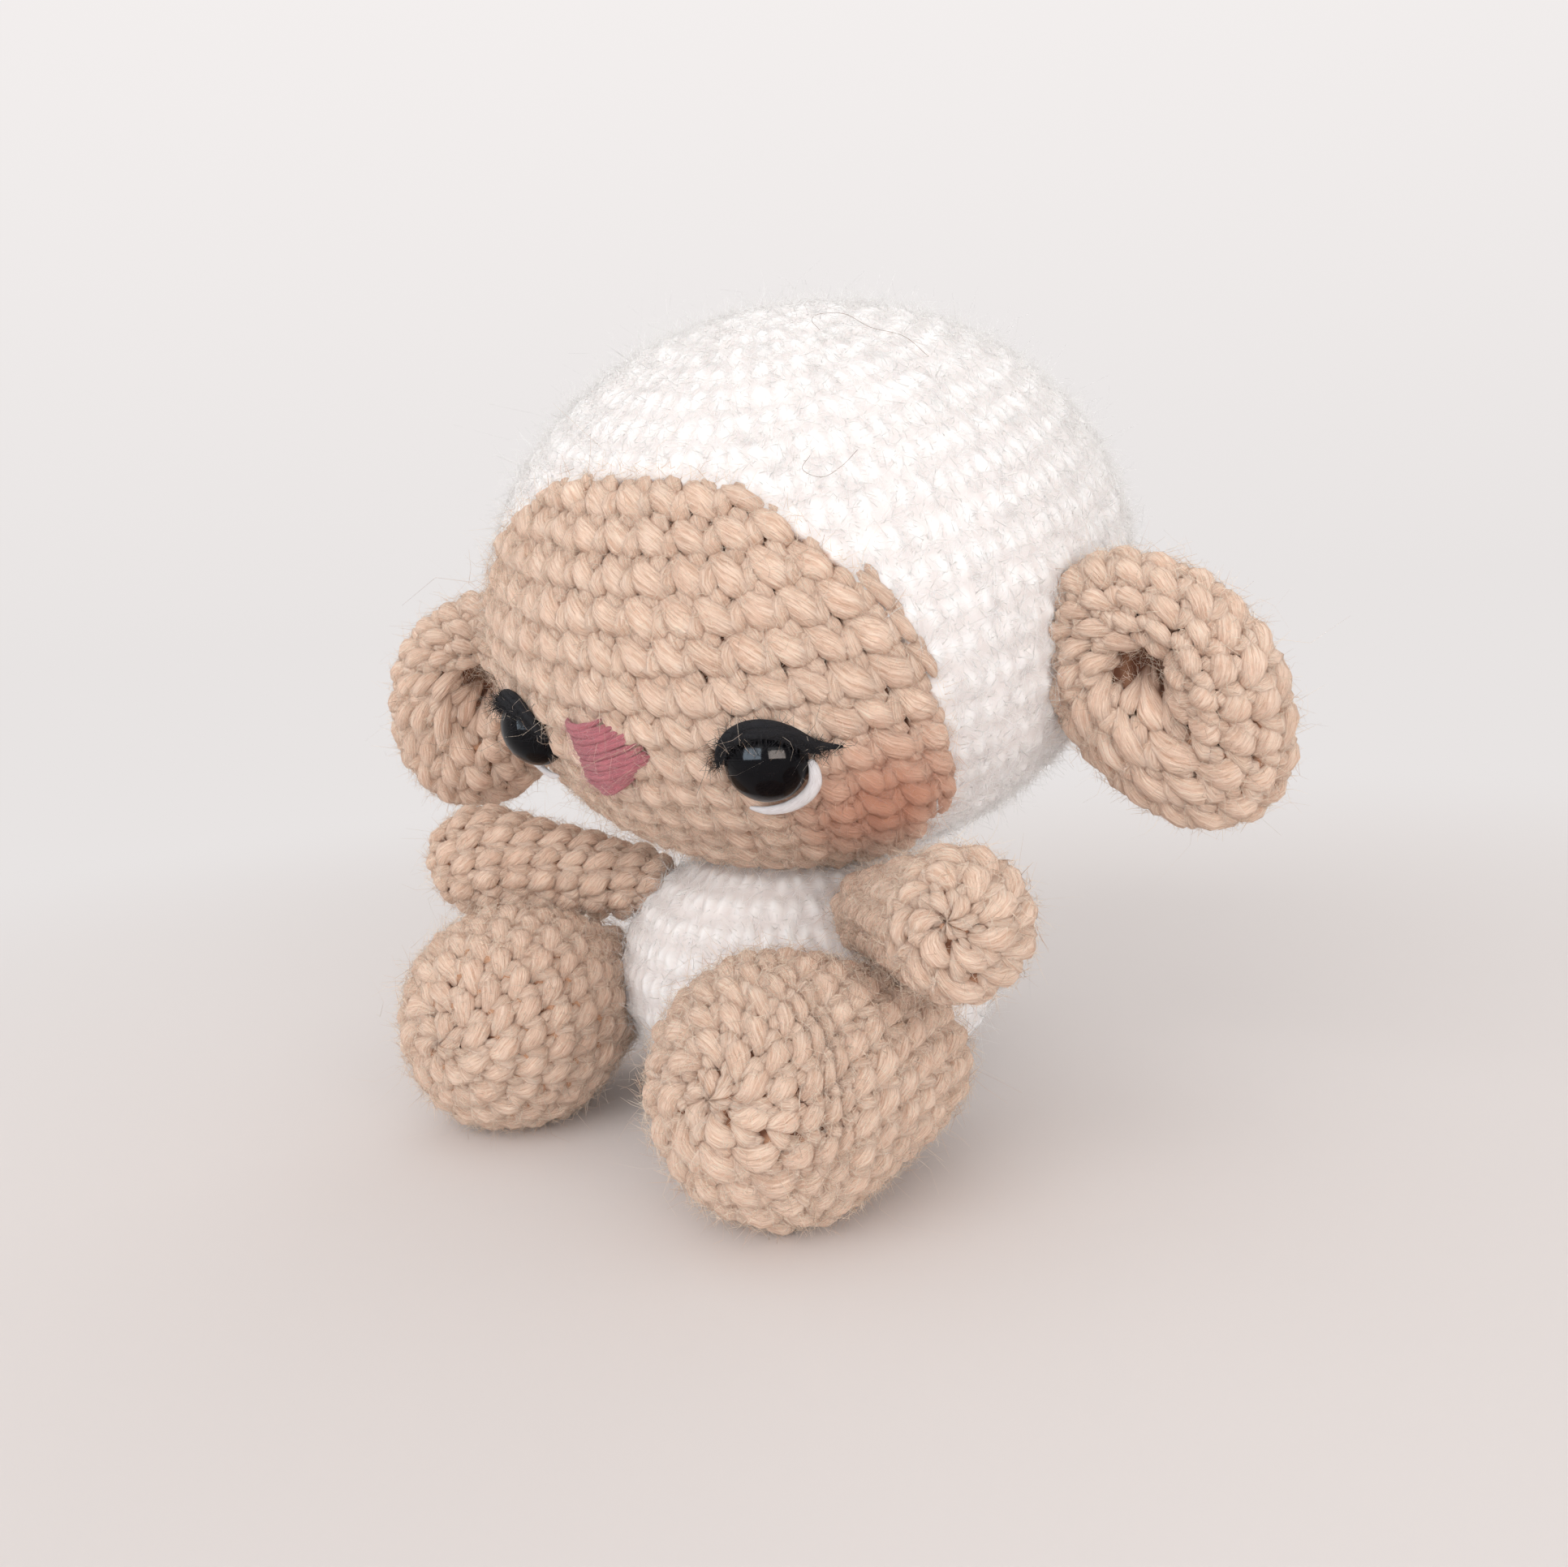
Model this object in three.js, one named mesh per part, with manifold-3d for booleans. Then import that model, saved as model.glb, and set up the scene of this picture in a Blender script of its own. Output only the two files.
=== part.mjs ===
// A crocheted lamb that sits: a round head that nods forward, a pear-shaped body, arms, legs, ears and a tail.
// Millimetres, Z up. The lamb faces -Y, its left side is +X, and it rests on its seat and feet at Z 0.
import * as THREE from 'three';
import { mergeVertices } from 'three/addons/utils/BufferGeometryUtils.js';
import Module from 'manifold-3d';

const wasm = await Module();
wasm.setup();

// Clearances
const gap = 0.3; // air left between two pieces that touch
const restDepth = 0.5; // depth of the flats that the lamb rests on
const overrun = 5; // how far a cutting tool runs past what it cuts

// Head, an egg lying on its side, turned, nodding and tilted
const headRadius = 45;
const headHalfHeight = 37.4;
const headSkinThickness = 3;
const headSetback = 5;
const neckSink = 1.7;
const headTurn = 5.1;
const headNod = 21.9;
const headTilt = 6.6;

// Face panel, an oval on the front of the head
const faceHalfWidth = 35.6;
const faceHalfHeight = 30.8;
const faceDrop = 3;

// Body, two half eggs on one round
const bodyRadius = 27.5;
const bodyWaistHeight = 16;
const bodyHeight = 34.2;
const neckRadius = 13;
const neckOpeningRadius = 8.5;
const bodySkinThickness = 2.8;

// Legs, a ball foot that narrows towards the hip
const footRadius = 15;
const footSpread = 24.7;
const footForward = 34.7;
const hipRadius = 10;
const hipHeight = 13.5;
const hipAngle = 35;
const hipSeatDepth = 3.2;
const legSkinThickness = 2.6;
const legRange = [-6, 10];

// Arms, a round paw that narrows towards the shoulder
const pawRadius = 8.1;
const pawSpread = 43;
const pawForward = 24.4;
const pawRise = 3.6;
const pawHeight = footRadius + footRadius - restDepth + pawRise;
const shoulderRadius = 5;
const shoulderDrop = 6.7;
const shoulderHeight = bodyHeight - shoulderDrop;
const shoulderAngle = 28;
const shoulderSeatDepth = 2.5;
const armSkinThickness = 2.2;
const armRange = [-5, 8];

// Ears, a thick disc with a pinched cup in its front, sewn on along an upright seam
const earHalfWidth = 13.2;
const earHalfHeight = 18.1;
const earHalfThickness = 7.2;
const earTilt = 16;
const earCupHalfWidth = 3.8;
const earCupHalfLength = 9.5;
const earCupDepth = 8.5;
const earRange = [-3, 15];
const earLean = -14;
const earPlaces = {
  left: { side: 1, azimuth: 78, drop: 10.4, turn: -1, reach: 12.1 },
  right: { side: -1, azimuth: 65, drop: 14.8, turn: -31.7, reach: 12.9 },
};
const earCups = {
  left: { inset: -2.2, rise: 2.3 },
  right: { inset: 2.2, rise: 4 },
};

// Safety eyes, a dome with a ribbed post held by a washer inside the face
const eyeRadius = 5;
const eyeHeight = 4.3;
const eyeRimHeight = 0.6;
const eyeAzimuth = 24.2;
const eyeLatitude = -5.6;
const postRadius = 1.7;
const postGroove = 0.3;
const postRibs = 6;
const postLength = 11;
const washerRadius = 5.5;
const washerThickness = 1.2;

// Lash over each eye, with a wing at its outer end, and white crescent under it, both lying on the face
const lashThickness = 0.9;
const lashWidth = 1.2;
const lashWing = 2.4;
const lashWingShare = 0.17;
const lashSpan = [-4, 186];
const crescentThickness = 0.7;
const crescentWidth = 1.3;
const crescentSpan = [-104, -12];

// Nose, an embroidered triangle with rounded corners
const noseHalfWidth = 6.3;
const noseHeight = 9;
const noseThickness = 1.5;
const noseCorner = 1.8;
const noseAzimuth = -2.3;
const noseLatitude = -6.2;
const noseTurn = 12;

// Tail, a small drop at the back
const tailTipRadius = 5.6;
const tailRootRadius = 4;
const tailLength = 8;
const tailHeight = 13;
const tailSeatDepth = 1.5;
const tailDroop = 20;
const tailRange = [-20, 20];

// Facets round each form and along its height
const facets = {
  head: { sides: 48, rings: 20 },
  headLining: { sides: 32, rings: 12 },
  body: { sides: 40, rings: 14 },
  bodyLining: { sides: 28, rings: 10 },
  leg: { sides: 28, rings: 12 },
  legLining: { sides: 20, rings: 8 },
  arm: { sides: 22, rings: 10 },
  armLining: { sides: 16, rings: 6 },
  ear: { sides: 26, rings: 14 },
  earCup: { sides: 14, rings: 8 },
  eye: { sides: 24, rings: 6 },
  tail: { sides: 18, rings: 8 },
  faceEdge: 64,
  outline: 8,
  crescent: 16,
  firstBallShare: 0.4,
  sweepStep: 4,
};
const toolSpan = 4 * (headRadius + overrun); // side of the blocks that cut off a whole half space
const nearlyZero = 1e-9;

const tan = new THREE.Color(0xe1c3aa);
const white = new THREE.Color(0xf5f3f2);
const materials = {
  tanYarn: new THREE.MeshStandardMaterial({ color: tan, roughness: 0.95, metalness: 0 }),
  whiteYarn: new THREE.MeshStandardMaterial({ color: white, roughness: 0.98, metalness: 0 }),
  fibre: new THREE.MeshStandardMaterial({ color: 0xf2f2f0, roughness: 1, metalness: 0 }),
  eyePlastic: new THREE.MeshStandardMaterial({ color: 0x050505, roughness: 0.08, metalness: 0 }),
  washerPlastic: new THREE.MeshStandardMaterial({ color: 0xd9d9d6, roughness: 0.5, metalness: 0 }),
  lashFelt: new THREE.MeshStandardMaterial({ color: 0x0b0b0d, roughness: 1, metalness: 0 }),
  whiteThread: new THREE.MeshStandardMaterial({ color: 0xf4f3f1, roughness: 0.9, metalness: 0 }),
  pinkThread: new THREE.MeshStandardMaterial({ color: 0xb8697a, roughness: 0.7, metalness: 0 }),
};

// Solids

function solidOf(geometry) {
  const bare = geometry.clone();
  bare.deleteAttribute('normal');
  bare.deleteAttribute('uv');
  const merged = mergeVertices(bare);
  const corners = Array.from(merged.index.array);
  const faces = [];
  for (let i = 0; i < corners.length; i += 3) {
    const [a, b, c] = corners.slice(i, i + 3);
    if (a !== b && b !== c && c !== a) faces.push(a, b, c);
  }
  const mesh = new wasm.Mesh({
    numProp: 3,
    vertProperties: new Float32Array(merged.attributes.position.array),
    triVerts: new Uint32Array(faces),
  });
  return new wasm.Manifold(mesh);
}

function geometryOf(solid) {
  const mesh = solid.getMesh();
  const geometry = new THREE.BufferGeometry();
  geometry.setAttribute('position', new THREE.BufferAttribute(new Float32Array(mesh.vertProperties), 3));
  geometry.setIndex(new THREE.BufferAttribute(new Uint32Array(mesh.triVerts), 1));
  geometry.computeVertexNormals();
  return geometry;
}

function moved(solid, matrix) {
  return solid.transform(matrix.toArray());
}

// A solid turned round Z from points of [radius, height], lowest first
function revolved(points, sides) {
  const profile = points.map(([radius, height]) => new THREE.Vector2(radius, height));
  const geometry = new THREE.LatheGeometry(profile, sides);
  geometry.rotateX(Math.PI / 2);
  return solidOf(geometry);
}

// Points of an arc in the profile plane, from one angle above the horizon to another
function arc(radius, height, centreHeight, from, to, steps) {
  const points = [];
  for (let i = 0; i <= steps; i += 1) {
    const angle = from + ((to - from) * i) / steps;
    const onAxis = Math.abs(Math.abs(angle) - Math.PI / 2) < nearlyZero;
    points.push([onAxis ? 0 : radius * Math.cos(angle), centreHeight + height * Math.sin(angle)]);
  }
  return points;
}

function egg(radius, halfHeight, { sides, rings }) {
  return revolved(arc(radius, halfHeight, 0, -Math.PI / 2, Math.PI / 2, rings), sides);
}

// Two balls of different radius joined by the cone that touches both, the first at Z 0
function joinedBalls(firstRadius, lastRadius, length, { sides, rings }) {
  const lean = -Math.asin((lastRadius - firstRadius) / length);
  const firstSteps = Math.round(rings * facets.firstBallShare);
  const first = arc(firstRadius, firstRadius, 0, -Math.PI / 2, lean, firstSteps);
  const last = arc(lastRadius, lastRadius, length, lean, Math.PI / 2, rings - firstSteps);
  return revolved([...first, ...last], sides);
}

function block(width, depth, height) {
  return solidOf(new THREE.BoxGeometry(width, depth, height));
}

// An outline in X and Z, drawn out to a depth towards -Y
function plate(shape, depth, curveSegments) {
  const geometry = new THREE.ExtrudeGeometry(shape, { depth, bevelEnabled: false, curveSegments });
  geometry.rotateX(Math.PI / 2);
  return solidOf(geometry);
}

// Frames

function degrees(angle) {
  return THREE.MathUtils.degToRad(angle);
}

// A group at a point whose Z axis points along a direction
function frameAlong(point, direction) {
  const frame = new THREE.Group();
  frame.position.copy(point);
  frame.quaternion.setFromUnitVectors(new THREE.Vector3(0, 0, 1), direction.clone().normalize());
  return frame;
}

function intoFrame(solid, frame) {
  frame.updateWorldMatrix(true, false);
  return moved(solid, frame.matrixWorld.clone().invert());
}

// All that a neighbour fills as a piece turns about the Z axis through a pivot, seen from the piece
function sweptPast(neighbour, pivot, [low, high], side) {
  const steps = Math.ceil((high - low) / facets.sweepStep);
  const turned = [];
  for (let i = 0; i <= steps; i += 1) {
    const angle = side * degrees(low + ((high - low) * i) / steps);
    const turn = new THREE.Matrix4().makeTranslation(pivot.x, pivot.y, pivot.z)
      .multiply(new THREE.Matrix4().makeRotationZ(-angle))
      .multiply(new THREE.Matrix4().makeTranslation(-pivot.x, -pivot.y, -pivot.z));
    turned.push(moved(neighbour, turn));
  }
  return turned.reduce((all, next) => all.add(next));
}

const toy = new THREE.Group();

function addPiece(parent, name, solid, material) {
  const mesh = new THREE.Mesh(geometryOf(solid), material.clone());
  mesh.name = name;
  parent.add(mesh);
  return mesh;
}

// Body

const bodyUpperHalf = (bodyHeight - bodyWaistHeight) / Math.sqrt(1 - (neckRadius / bodyRadius) ** 2);
const bodyLowerHalf = bodyWaistHeight + restDepth;

// The body's form, grown by an offset outwards or shrunk by one inwards
function bodyForm(offset, { sides, rings }) {
  const half = Math.round(rings / 2);
  const lower = arc(bodyRadius + offset, bodyLowerHalf + offset, bodyWaistHeight, -Math.PI / 2, 0, half);
  const upper = arc(bodyRadius + offset, bodyUpperHalf + offset, bodyWaistHeight, 0, Math.PI / 2, half);
  return revolved([...lower, ...upper.slice(1)], sides);
}

const belowFloor = block(toolSpan, toolSpan, toolSpan).translate(0, 0, -toolSpan / 2);
const aboveNeck = block(toolSpan, toolSpan, toolSpan).translate(0, 0, bodyHeight + toolSpan / 2);
const belowHead = block(toolSpan, toolSpan, toolSpan).translate(0, 0, bodyHeight + gap - toolSpan / 2);

function neckPlug(radius) {
  return revolved([[0, 0], [radius, 0], [radius, toolSpan / 2], [0, toolSpan / 2]], facets.bodyLining.sides)
    .translate(0, 0, bodyWaistHeight);
}

const bodyOuter = bodyForm(0, facets.body).subtract(belowFloor).subtract(aboveNeck);
const bodyLining = bodyForm(-bodySkinThickness, facets.bodyLining).add(neckPlug(neckOpeningRadius));
const bodyFilling = bodyForm(-bodySkinThickness - gap, facets.bodyLining).add(neckPlug(neckOpeningRadius - gap));
addPiece(toy, 'body_skin', bodyOuter.subtract(bodyLining), materials.whiteYarn);
addPiece(toy, 'body_stuffing', bodyFilling.subtract(aboveNeck), materials.fibre);
const bodyClearance = bodyForm(gap, facets.body);

// Head

const head = new THREE.Group();
head.rotation.set(degrees(headNod), degrees(headTilt), degrees(headTurn), 'ZXY');
const down = new THREE.Vector3(0, 0, -1).applyQuaternion(head.quaternion.clone().invert());
const headDepth = Math.hypot(headRadius * down.x, headRadius * down.y, headHalfHeight * down.z);
head.position.set(0, headSetback, bodyHeight + gap - neckSink + headDepth);
toy.add(head);

function headForm(offset, resolution) {
  return egg(headRadius + offset, headHalfHeight + offset, resolution);
}

// A frame on the head at an azimuth from the face's middle and a latitude: X to the side, Y up, Z outwards
function headFrame(azimuth, latitude, turn) {
  const a = degrees(azimuth);
  const l = degrees(latitude);
  const unit = new THREE.Vector3(Math.cos(l) * Math.sin(a), -Math.cos(l) * Math.cos(a), Math.sin(l));
  const size = new THREE.Vector3(headRadius, headRadius, headHalfHeight);
  const frame = new THREE.Group();
  frame.up.set(0, 0, 1);
  frame.position.copy(unit).multiply(size);
  frame.lookAt(frame.position.clone().add(unit.divide(size)));
  frame.rotateZ(degrees(turn));
  frame.updateMatrix();
  return frame;
}

function facePrism(offset) {
  const oval = new THREE.Shape();
  oval.absellipse(0, -faceDrop, faceHalfWidth + offset, faceHalfHeight + offset, 0, 2 * Math.PI);
  return plate(oval, headRadius + overrun, facets.faceEdge);
}

const eyes = {
  left: { side: 1, frame: headFrame(eyeAzimuth, eyeLatitude, 0) },
  right: { side: -1, frame: headFrame(-eyeAzimuth, eyeLatitude, 0) },
};
const washerTop = -headSkinThickness - gap;
const washerBottom = washerTop - washerThickness;

function pin(radius, bottom, top) {
  return revolved([[0, bottom], [radius, bottom], [radius, top], [0, top]], facets.eye.sides);
}

const postHole = pin(postRadius + gap, -postLength - gap, overrun);
const washerPocket = pin(washerRadius + gap, washerBottom - gap, washerTop + gap);
const eyeHole = postHole.add(washerPocket);
const eyeHoles = moved(eyeHole, eyes.left.frame.matrix).add(moved(eyeHole, eyes.right.frame.matrix));
const headFloor = intoFrame(belowHead, head);
const headLining = headForm(-headSkinThickness, facets.headLining);
const headFilling = headForm(-headSkinThickness - gap, facets.headLining);
const headSkin = headForm(0, facets.head).subtract(headLining).subtract(headFloor);
const faceSkin = headSkin.intersect(facePrism(-gap / 2)).subtract(eyeHoles);
addPiece(head, 'head_face_skin', faceSkin, materials.tanYarn);
addPiece(head, 'head_wool_skin', headSkin.subtract(facePrism(gap / 2)), materials.whiteYarn);
addPiece(head, 'head_stuffing', headFilling.subtract(headFloor).subtract(eyeHoles), materials.fibre);

// Safety eyes

function eyeSolid() {
  const profile = [[0, -postLength]];
  const ribPitch = (postLength + gap) / postRibs;
  for (let i = 0; i < postRibs; i += 1) {
    const foot = -postLength + i * ribPitch;
    profile.push([postRadius - postGroove, foot], [postRadius, foot + ribPitch / 2]);
  }
  profile.push([postRadius - postGroove, gap], [eyeRadius, gap]);
  const dome = arc(eyeRadius, eyeHeight - eyeRimHeight, gap + eyeRimHeight, 0, Math.PI / 2, facets.eye.rings);
  return revolved([...profile, ...dome], facets.eye.sides);
}

function washerSolid() {
  const bore = postRadius + gap;
  const section = [[bore, washerBottom], [washerRadius, washerBottom], [washerRadius, washerTop], [bore, washerTop]];
  return revolved([...section, section[0]], facets.eye.sides);
}

// A piece of even thickness that lies on the face, cut out along an outline seen square to a frame on the head
function laidOnFace(shape, frame, thickness) {
  const settings = { depth: 2 * overrun, bevelEnabled: false, curveSegments: facets.outline };
  const geometry = new THREE.ExtrudeGeometry(shape, settings);
  geometry.translate(0, 0, -overrun);
  const sheet = headForm(gap + thickness, facets.head).subtract(headForm(gap, facets.head));
  return sheet.intersect(moved(solidOf(geometry), frame.matrix));
}

// A crescent round the eye, as wide as a width rule says at each share of its span, with its outer end first
function crescent(side, [from, to], widthAt) {
  const inner = eyeRadius + gap;
  const shape = new THREE.Shape();
  const at = (radius, angle) => [side * radius * Math.cos(angle), radius * Math.sin(angle)];
  for (let i = 0; i <= facets.crescent; i += 1) {
    const share = i / facets.crescent;
    const point = at(inner + widthAt(share), degrees(from + (to - from) * share));
    if (i === 0) shape.moveTo(...point);
    else shape.lineTo(...point);
  }
  for (let i = facets.crescent - 1; i > 0; i -= 1) {
    shape.lineTo(...at(inner, degrees(from + ((to - from) * i) / facets.crescent)));
  }
  return shape;
}

function lashWidthAt(share) {
  const wing = Math.max(0, 1 - share / lashWingShare);
  return lashWidth * Math.sin(Math.PI * share) + lashWing * wing ** 2;
}

function crescentWidthAt(share) {
  return gap + crescentWidth * Math.sin(Math.PI * share);
}

for (const [name, { side, frame }] of Object.entries(eyes)) {
  head.add(frame);
  addPiece(frame, `eye_${name}`, eyeSolid(), materials.eyePlastic);
  addPiece(frame, `eye_washer_${name}`, washerSolid(), materials.washerPlastic);
  const lash = crescent(side, lashSpan, lashWidthAt);
  const underEye = crescent(side, crescentSpan, crescentWidthAt);
  addPiece(head, `lash_${name}`, laidOnFace(lash, frame, lashThickness), materials.lashFelt);
  addPiece(head, `eye_white_${name}`, laidOnFace(underEye, frame, crescentThickness), materials.whiteThread);
}

// Nose

function noseShape() {
  const top = noseHeight / 2;
  const shape = new THREE.Shape();
  shape.moveTo(-noseHalfWidth + noseCorner, top);
  shape.lineTo(noseHalfWidth - noseCorner, top);
  shape.quadraticCurveTo(noseHalfWidth, top, noseHalfWidth - noseCorner / 2, top - noseCorner);
  shape.lineTo(noseCorner, -top + noseCorner / 2);
  shape.quadraticCurveTo(0, -top, -noseCorner, -top + noseCorner / 2);
  shape.lineTo(-noseHalfWidth + noseCorner / 2, top - noseCorner);
  shape.quadraticCurveTo(-noseHalfWidth, top, -noseHalfWidth + noseCorner, top);
  return shape;
}

const noseFrame = headFrame(noseAzimuth, noseLatitude, -noseTurn);
addPiece(head, 'nose', laidOnFace(noseShape(), noseFrame, noseThickness), materials.pinkThread);

// Ears

function earForm(side, reach, { inset, rise }) {
  const disc = egg(earHalfWidth, earHalfHeight, facets.ear).scale([1, earHalfThickness / earHalfWidth, 1]);
  const cup = egg(earCupHalfWidth, earCupHalfLength, facets.earCup)
    .scale([1, earCupDepth / earCupHalfWidth, 1])
    .translate(-side * inset, -earHalfThickness, rise);
  return disc.subtract(cup).rotate([0, -side * earTilt, 0]).translate(side * reach, 0, 0);
}

for (const [name, { side, azimuth, drop, turn, reach }] of Object.entries(earPlaces)) {
  const outward = headRadius * Math.sqrt(1 - (drop / headHalfHeight) ** 2);
  const frame = new THREE.Group();
  frame.position.set(side * outward * Math.sin(degrees(azimuth)), -outward * Math.cos(degrees(azimuth)), -drop);
  frame.rotation.set(0, side * degrees(earLean), side * degrees(turn), 'ZYX');
  frame.updateMatrix();
  head.add(frame);
  const nearHead = moved(headForm(gap, facets.head), frame.matrix.clone().invert());
  const blocked = sweptPast(nearHead, new THREE.Vector3(), earRange, side);
  addPiece(frame, `ear_${name}`, earForm(side, reach, earCups[name]).subtract(blocked), materials.tanYarn);
}

// Limbs, each a skin and a stuffing between two points, open and cut back where it is sewn to the body

function addLimb(name, { side, pivot, end, radii, skinThickness, range, outer, lining }) {
  const along = end.clone().sub(pivot);
  const frame = frameAlong(pivot, along);
  toy.add(frame);
  const blocked = intoFrame(sweptPast(bodyClearance, pivot, range, side).add(belowFloor), frame);
  const form = (offset, resolution) => joinedBalls(radii[0] + offset, radii[1] + offset, along.length(), resolution);
  const skin = form(0, outer).subtract(form(-skinThickness, lining)).subtract(blocked);
  const filling = form(-skinThickness - gap, lining).subtract(blocked);
  addPiece(frame, `${name.replace('_', '_skin_')}`, skin, materials.tanYarn);
  addPiece(frame, `${name.replace('_', '_stuffing_')}`, filling, materials.fibre);
}

// A point at a distance from the body's axis, turned an angle forward from its side
function besideBody(side, distance, angle, height) {
  return new THREE.Vector3(side * distance * Math.cos(degrees(angle)), -distance * Math.sin(degrees(angle)), height);
}

const hipDistance = bodyRadius + hipRadius - hipSeatDepth;
const shoulderShare = (shoulderHeight - bodyWaistHeight) / bodyUpperHalf;
const shoulderSurface = bodyRadius * Math.sqrt(1 - shoulderShare ** 2);
const shoulderNormal = new THREE.Vector2(shoulderSurface / bodyRadius ** 2, shoulderShare / bodyUpperHalf)
  .setLength(shoulderRadius - shoulderSeatDepth);

for (const [name, side] of Object.entries({ left: 1, right: -1 })) {
  addLimb(`leg_${name}`, {
    side,
    pivot: besideBody(side, hipDistance, hipAngle, hipHeight),
    end: new THREE.Vector3(side * footSpread, -footForward, footRadius - restDepth),
    radii: [hipRadius, footRadius],
    skinThickness: legSkinThickness,
    range: legRange,
    outer: facets.leg,
    lining: facets.legLining,
  });
  const shoulderDistance = shoulderSurface + shoulderNormal.x;
  addLimb(`arm_${name}`, {
    side,
    pivot: besideBody(side, shoulderDistance, shoulderAngle, shoulderHeight + shoulderNormal.y),
    end: new THREE.Vector3(side * pawSpread, -pawForward, pawHeight),
    radii: [shoulderRadius, pawRadius],
    skinThickness: armSkinThickness,
    range: armRange,
    outer: facets.arm,
    lining: facets.armLining,
  });
}

// Tail

const tailShare = (bodyWaistHeight - tailHeight) / bodyLowerHalf;
const tailDistance = bodyRadius * Math.sqrt(1 - tailShare ** 2) + tailRootRadius - tailSeatDepth;
const tailPivot = new THREE.Vector3(0, tailDistance, tailHeight);
const tailFrame = frameAlong(tailPivot, new THREE.Vector3(0, Math.cos(degrees(tailDroop)), -Math.sin(degrees(tailDroop))));
toy.add(tailFrame);
const tailForm = joinedBalls(tailRootRadius, tailTipRadius, tailLength, facets.tail);
const tailSeat = intoFrame(sweptPast(bodyClearance, tailPivot, tailRange, 1), tailFrame);
addPiece(tailFrame, 'tail', tailForm.subtract(tailSeat), materials.whiteYarn);

export default toy;
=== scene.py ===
import math

import bmesh
import bpy
import numpy as np
from mathutils import Matrix, Vector


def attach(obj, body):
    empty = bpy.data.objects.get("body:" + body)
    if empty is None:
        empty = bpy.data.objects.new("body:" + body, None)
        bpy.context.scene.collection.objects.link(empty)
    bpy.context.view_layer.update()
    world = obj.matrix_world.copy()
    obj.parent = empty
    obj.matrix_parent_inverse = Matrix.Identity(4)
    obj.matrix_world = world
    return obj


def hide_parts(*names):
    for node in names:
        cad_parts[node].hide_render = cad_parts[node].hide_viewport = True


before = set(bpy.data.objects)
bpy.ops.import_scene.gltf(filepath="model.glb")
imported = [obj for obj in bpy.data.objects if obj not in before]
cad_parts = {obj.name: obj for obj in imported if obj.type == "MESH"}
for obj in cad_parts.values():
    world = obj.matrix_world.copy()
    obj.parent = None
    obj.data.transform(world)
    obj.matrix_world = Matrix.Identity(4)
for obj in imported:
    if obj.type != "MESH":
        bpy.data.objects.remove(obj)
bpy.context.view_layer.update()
scene = bpy.context.scene
MM = 0.001
seeded = np.random.default_rng

# Sizes in millimetres and angles in degrees, the same as the solids'
HEAD_RADIUS = 45
HEAD_HALF_HEIGHT = 37.4
HEAD_SIZE = (HEAD_RADIUS, HEAD_RADIUS, HEAD_HALF_HEIGHT)
HEAD_CENTRE = (0, 5, 71.439)
HEAD_TURN, HEAD_NOD, HEAD_TILT = 5.1, 21.9, 6.6
FACE_HALF_WIDTH, FACE_HALF_HEIGHT, FACE_DROP = 35.6, 30.8, 3
BODY_RADIUS, BODY_WAIST, BODY_HEIGHT, NECK_RADIUS = 27.5, 16, 34.2, 13
BODY_UPPER_HEIGHT = (BODY_HEIGHT - BODY_WAIST) / math.sqrt(1 - (NECK_RADIUS / BODY_RADIUS) ** 2)
# Where the left leg and arm start, the middle of the foot and paw, and the radii there
LEG = ((28.097, -19.674, 13.5), (24.7, -34.7, 14.5), 10, 15)
ARM = ((21.816, -11.6, 29.165), (43, -24.4, 33.1), 5, 8.1)
TAIL_ROOT, TAIL_LENGTH, TAIL_DROOP, TAIL_RADII = (0, 29.542, 13), 8, 20, (4, 5.6)
EAR_HALF_WIDTH, EAR_HALF_HEIGHT, EAR_HALF_THICKNESS, EAR_LEAN, EAR_TILT = 13.2, 18.1, 7.2, -14, 16
# Each ear's side, azimuth and drop on the head, its turn and its reach from the seam
EARS = {"left": (1, 78, 10.4, -1, 12.1), "right": (-1, 65, 14.8, -31.7, 12.9)}
EYE_AZIMUTH, EYE_LATITUDE, EYE_RADIUS, EYE_HEIGHT = 24.2, -5.6, 5, 4.3

# Sizes of what only this script shows, in millimetres
STITCH_WIDTH, ROUND_HEIGHT = 4.6, 4.7
LIMB_STITCH, EAR_STITCH = (3.95, 4.05), (4.4, 3.9)
LIMB_LIFT = -0.35
FIRST_ROUND, SLANT, FEWEST_STITCHES = 0.38, 0.32, 6
YARN_TWIST = 0.14
# Where the rounds of foot and paw start, by side: turned to a direction, or at the tip
TIPS = {1: ((0.214, -0.943, 0.254), (0.417, -0.87, 0.265)), -1: (None, None)}
EAR_CUPS = {1: (2.1, 4.9), -1: (-0.4, 5.6)}
CUP_HALF_WIDTH, CUP_NARROWING, CUP_RISE, CUP_FALL, CUP_DEPTH = 4.0, 1.8, 3.4, 8.0, 5.6
# The rounder cup of the ear's painted shade, and how shaded a stitch may be before it is left out
HOLLOW_FALL, HOLLOW_EDGE = 4.4, 0.68
SEAT_PRESS, FLOOR_GAP, HAIR_FLOOR_GAP = 0.5, 0.02, 0.03
HIDDEN_DEPTH = 2.0
POLE_GAP, TINY_STEP, TINY_TURN = 0.3, 0.02, 0.002


def turn(axis, angle):
    return Matrix.Rotation(math.radians(angle), 4, axis)


HEAD = Matrix.Translation(HEAD_CENTRE) @ turn("Z", HEAD_TURN) @ turn("X", HEAD_NOD) @ turn("Y", HEAD_TILT)


def along(start, end):
    """A frame at a point whose Z axis points to another point, and how far off that point is."""
    way = Vector(end) - Vector(start)
    turned = Vector((0, 0, 1)).rotation_difference(way.normalized())
    return Matrix.Translation(start) @ turned.to_matrix().to_4x4(), way.length


def mirrored(point, side):
    return side * point[0], point[1], point[2]


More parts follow.
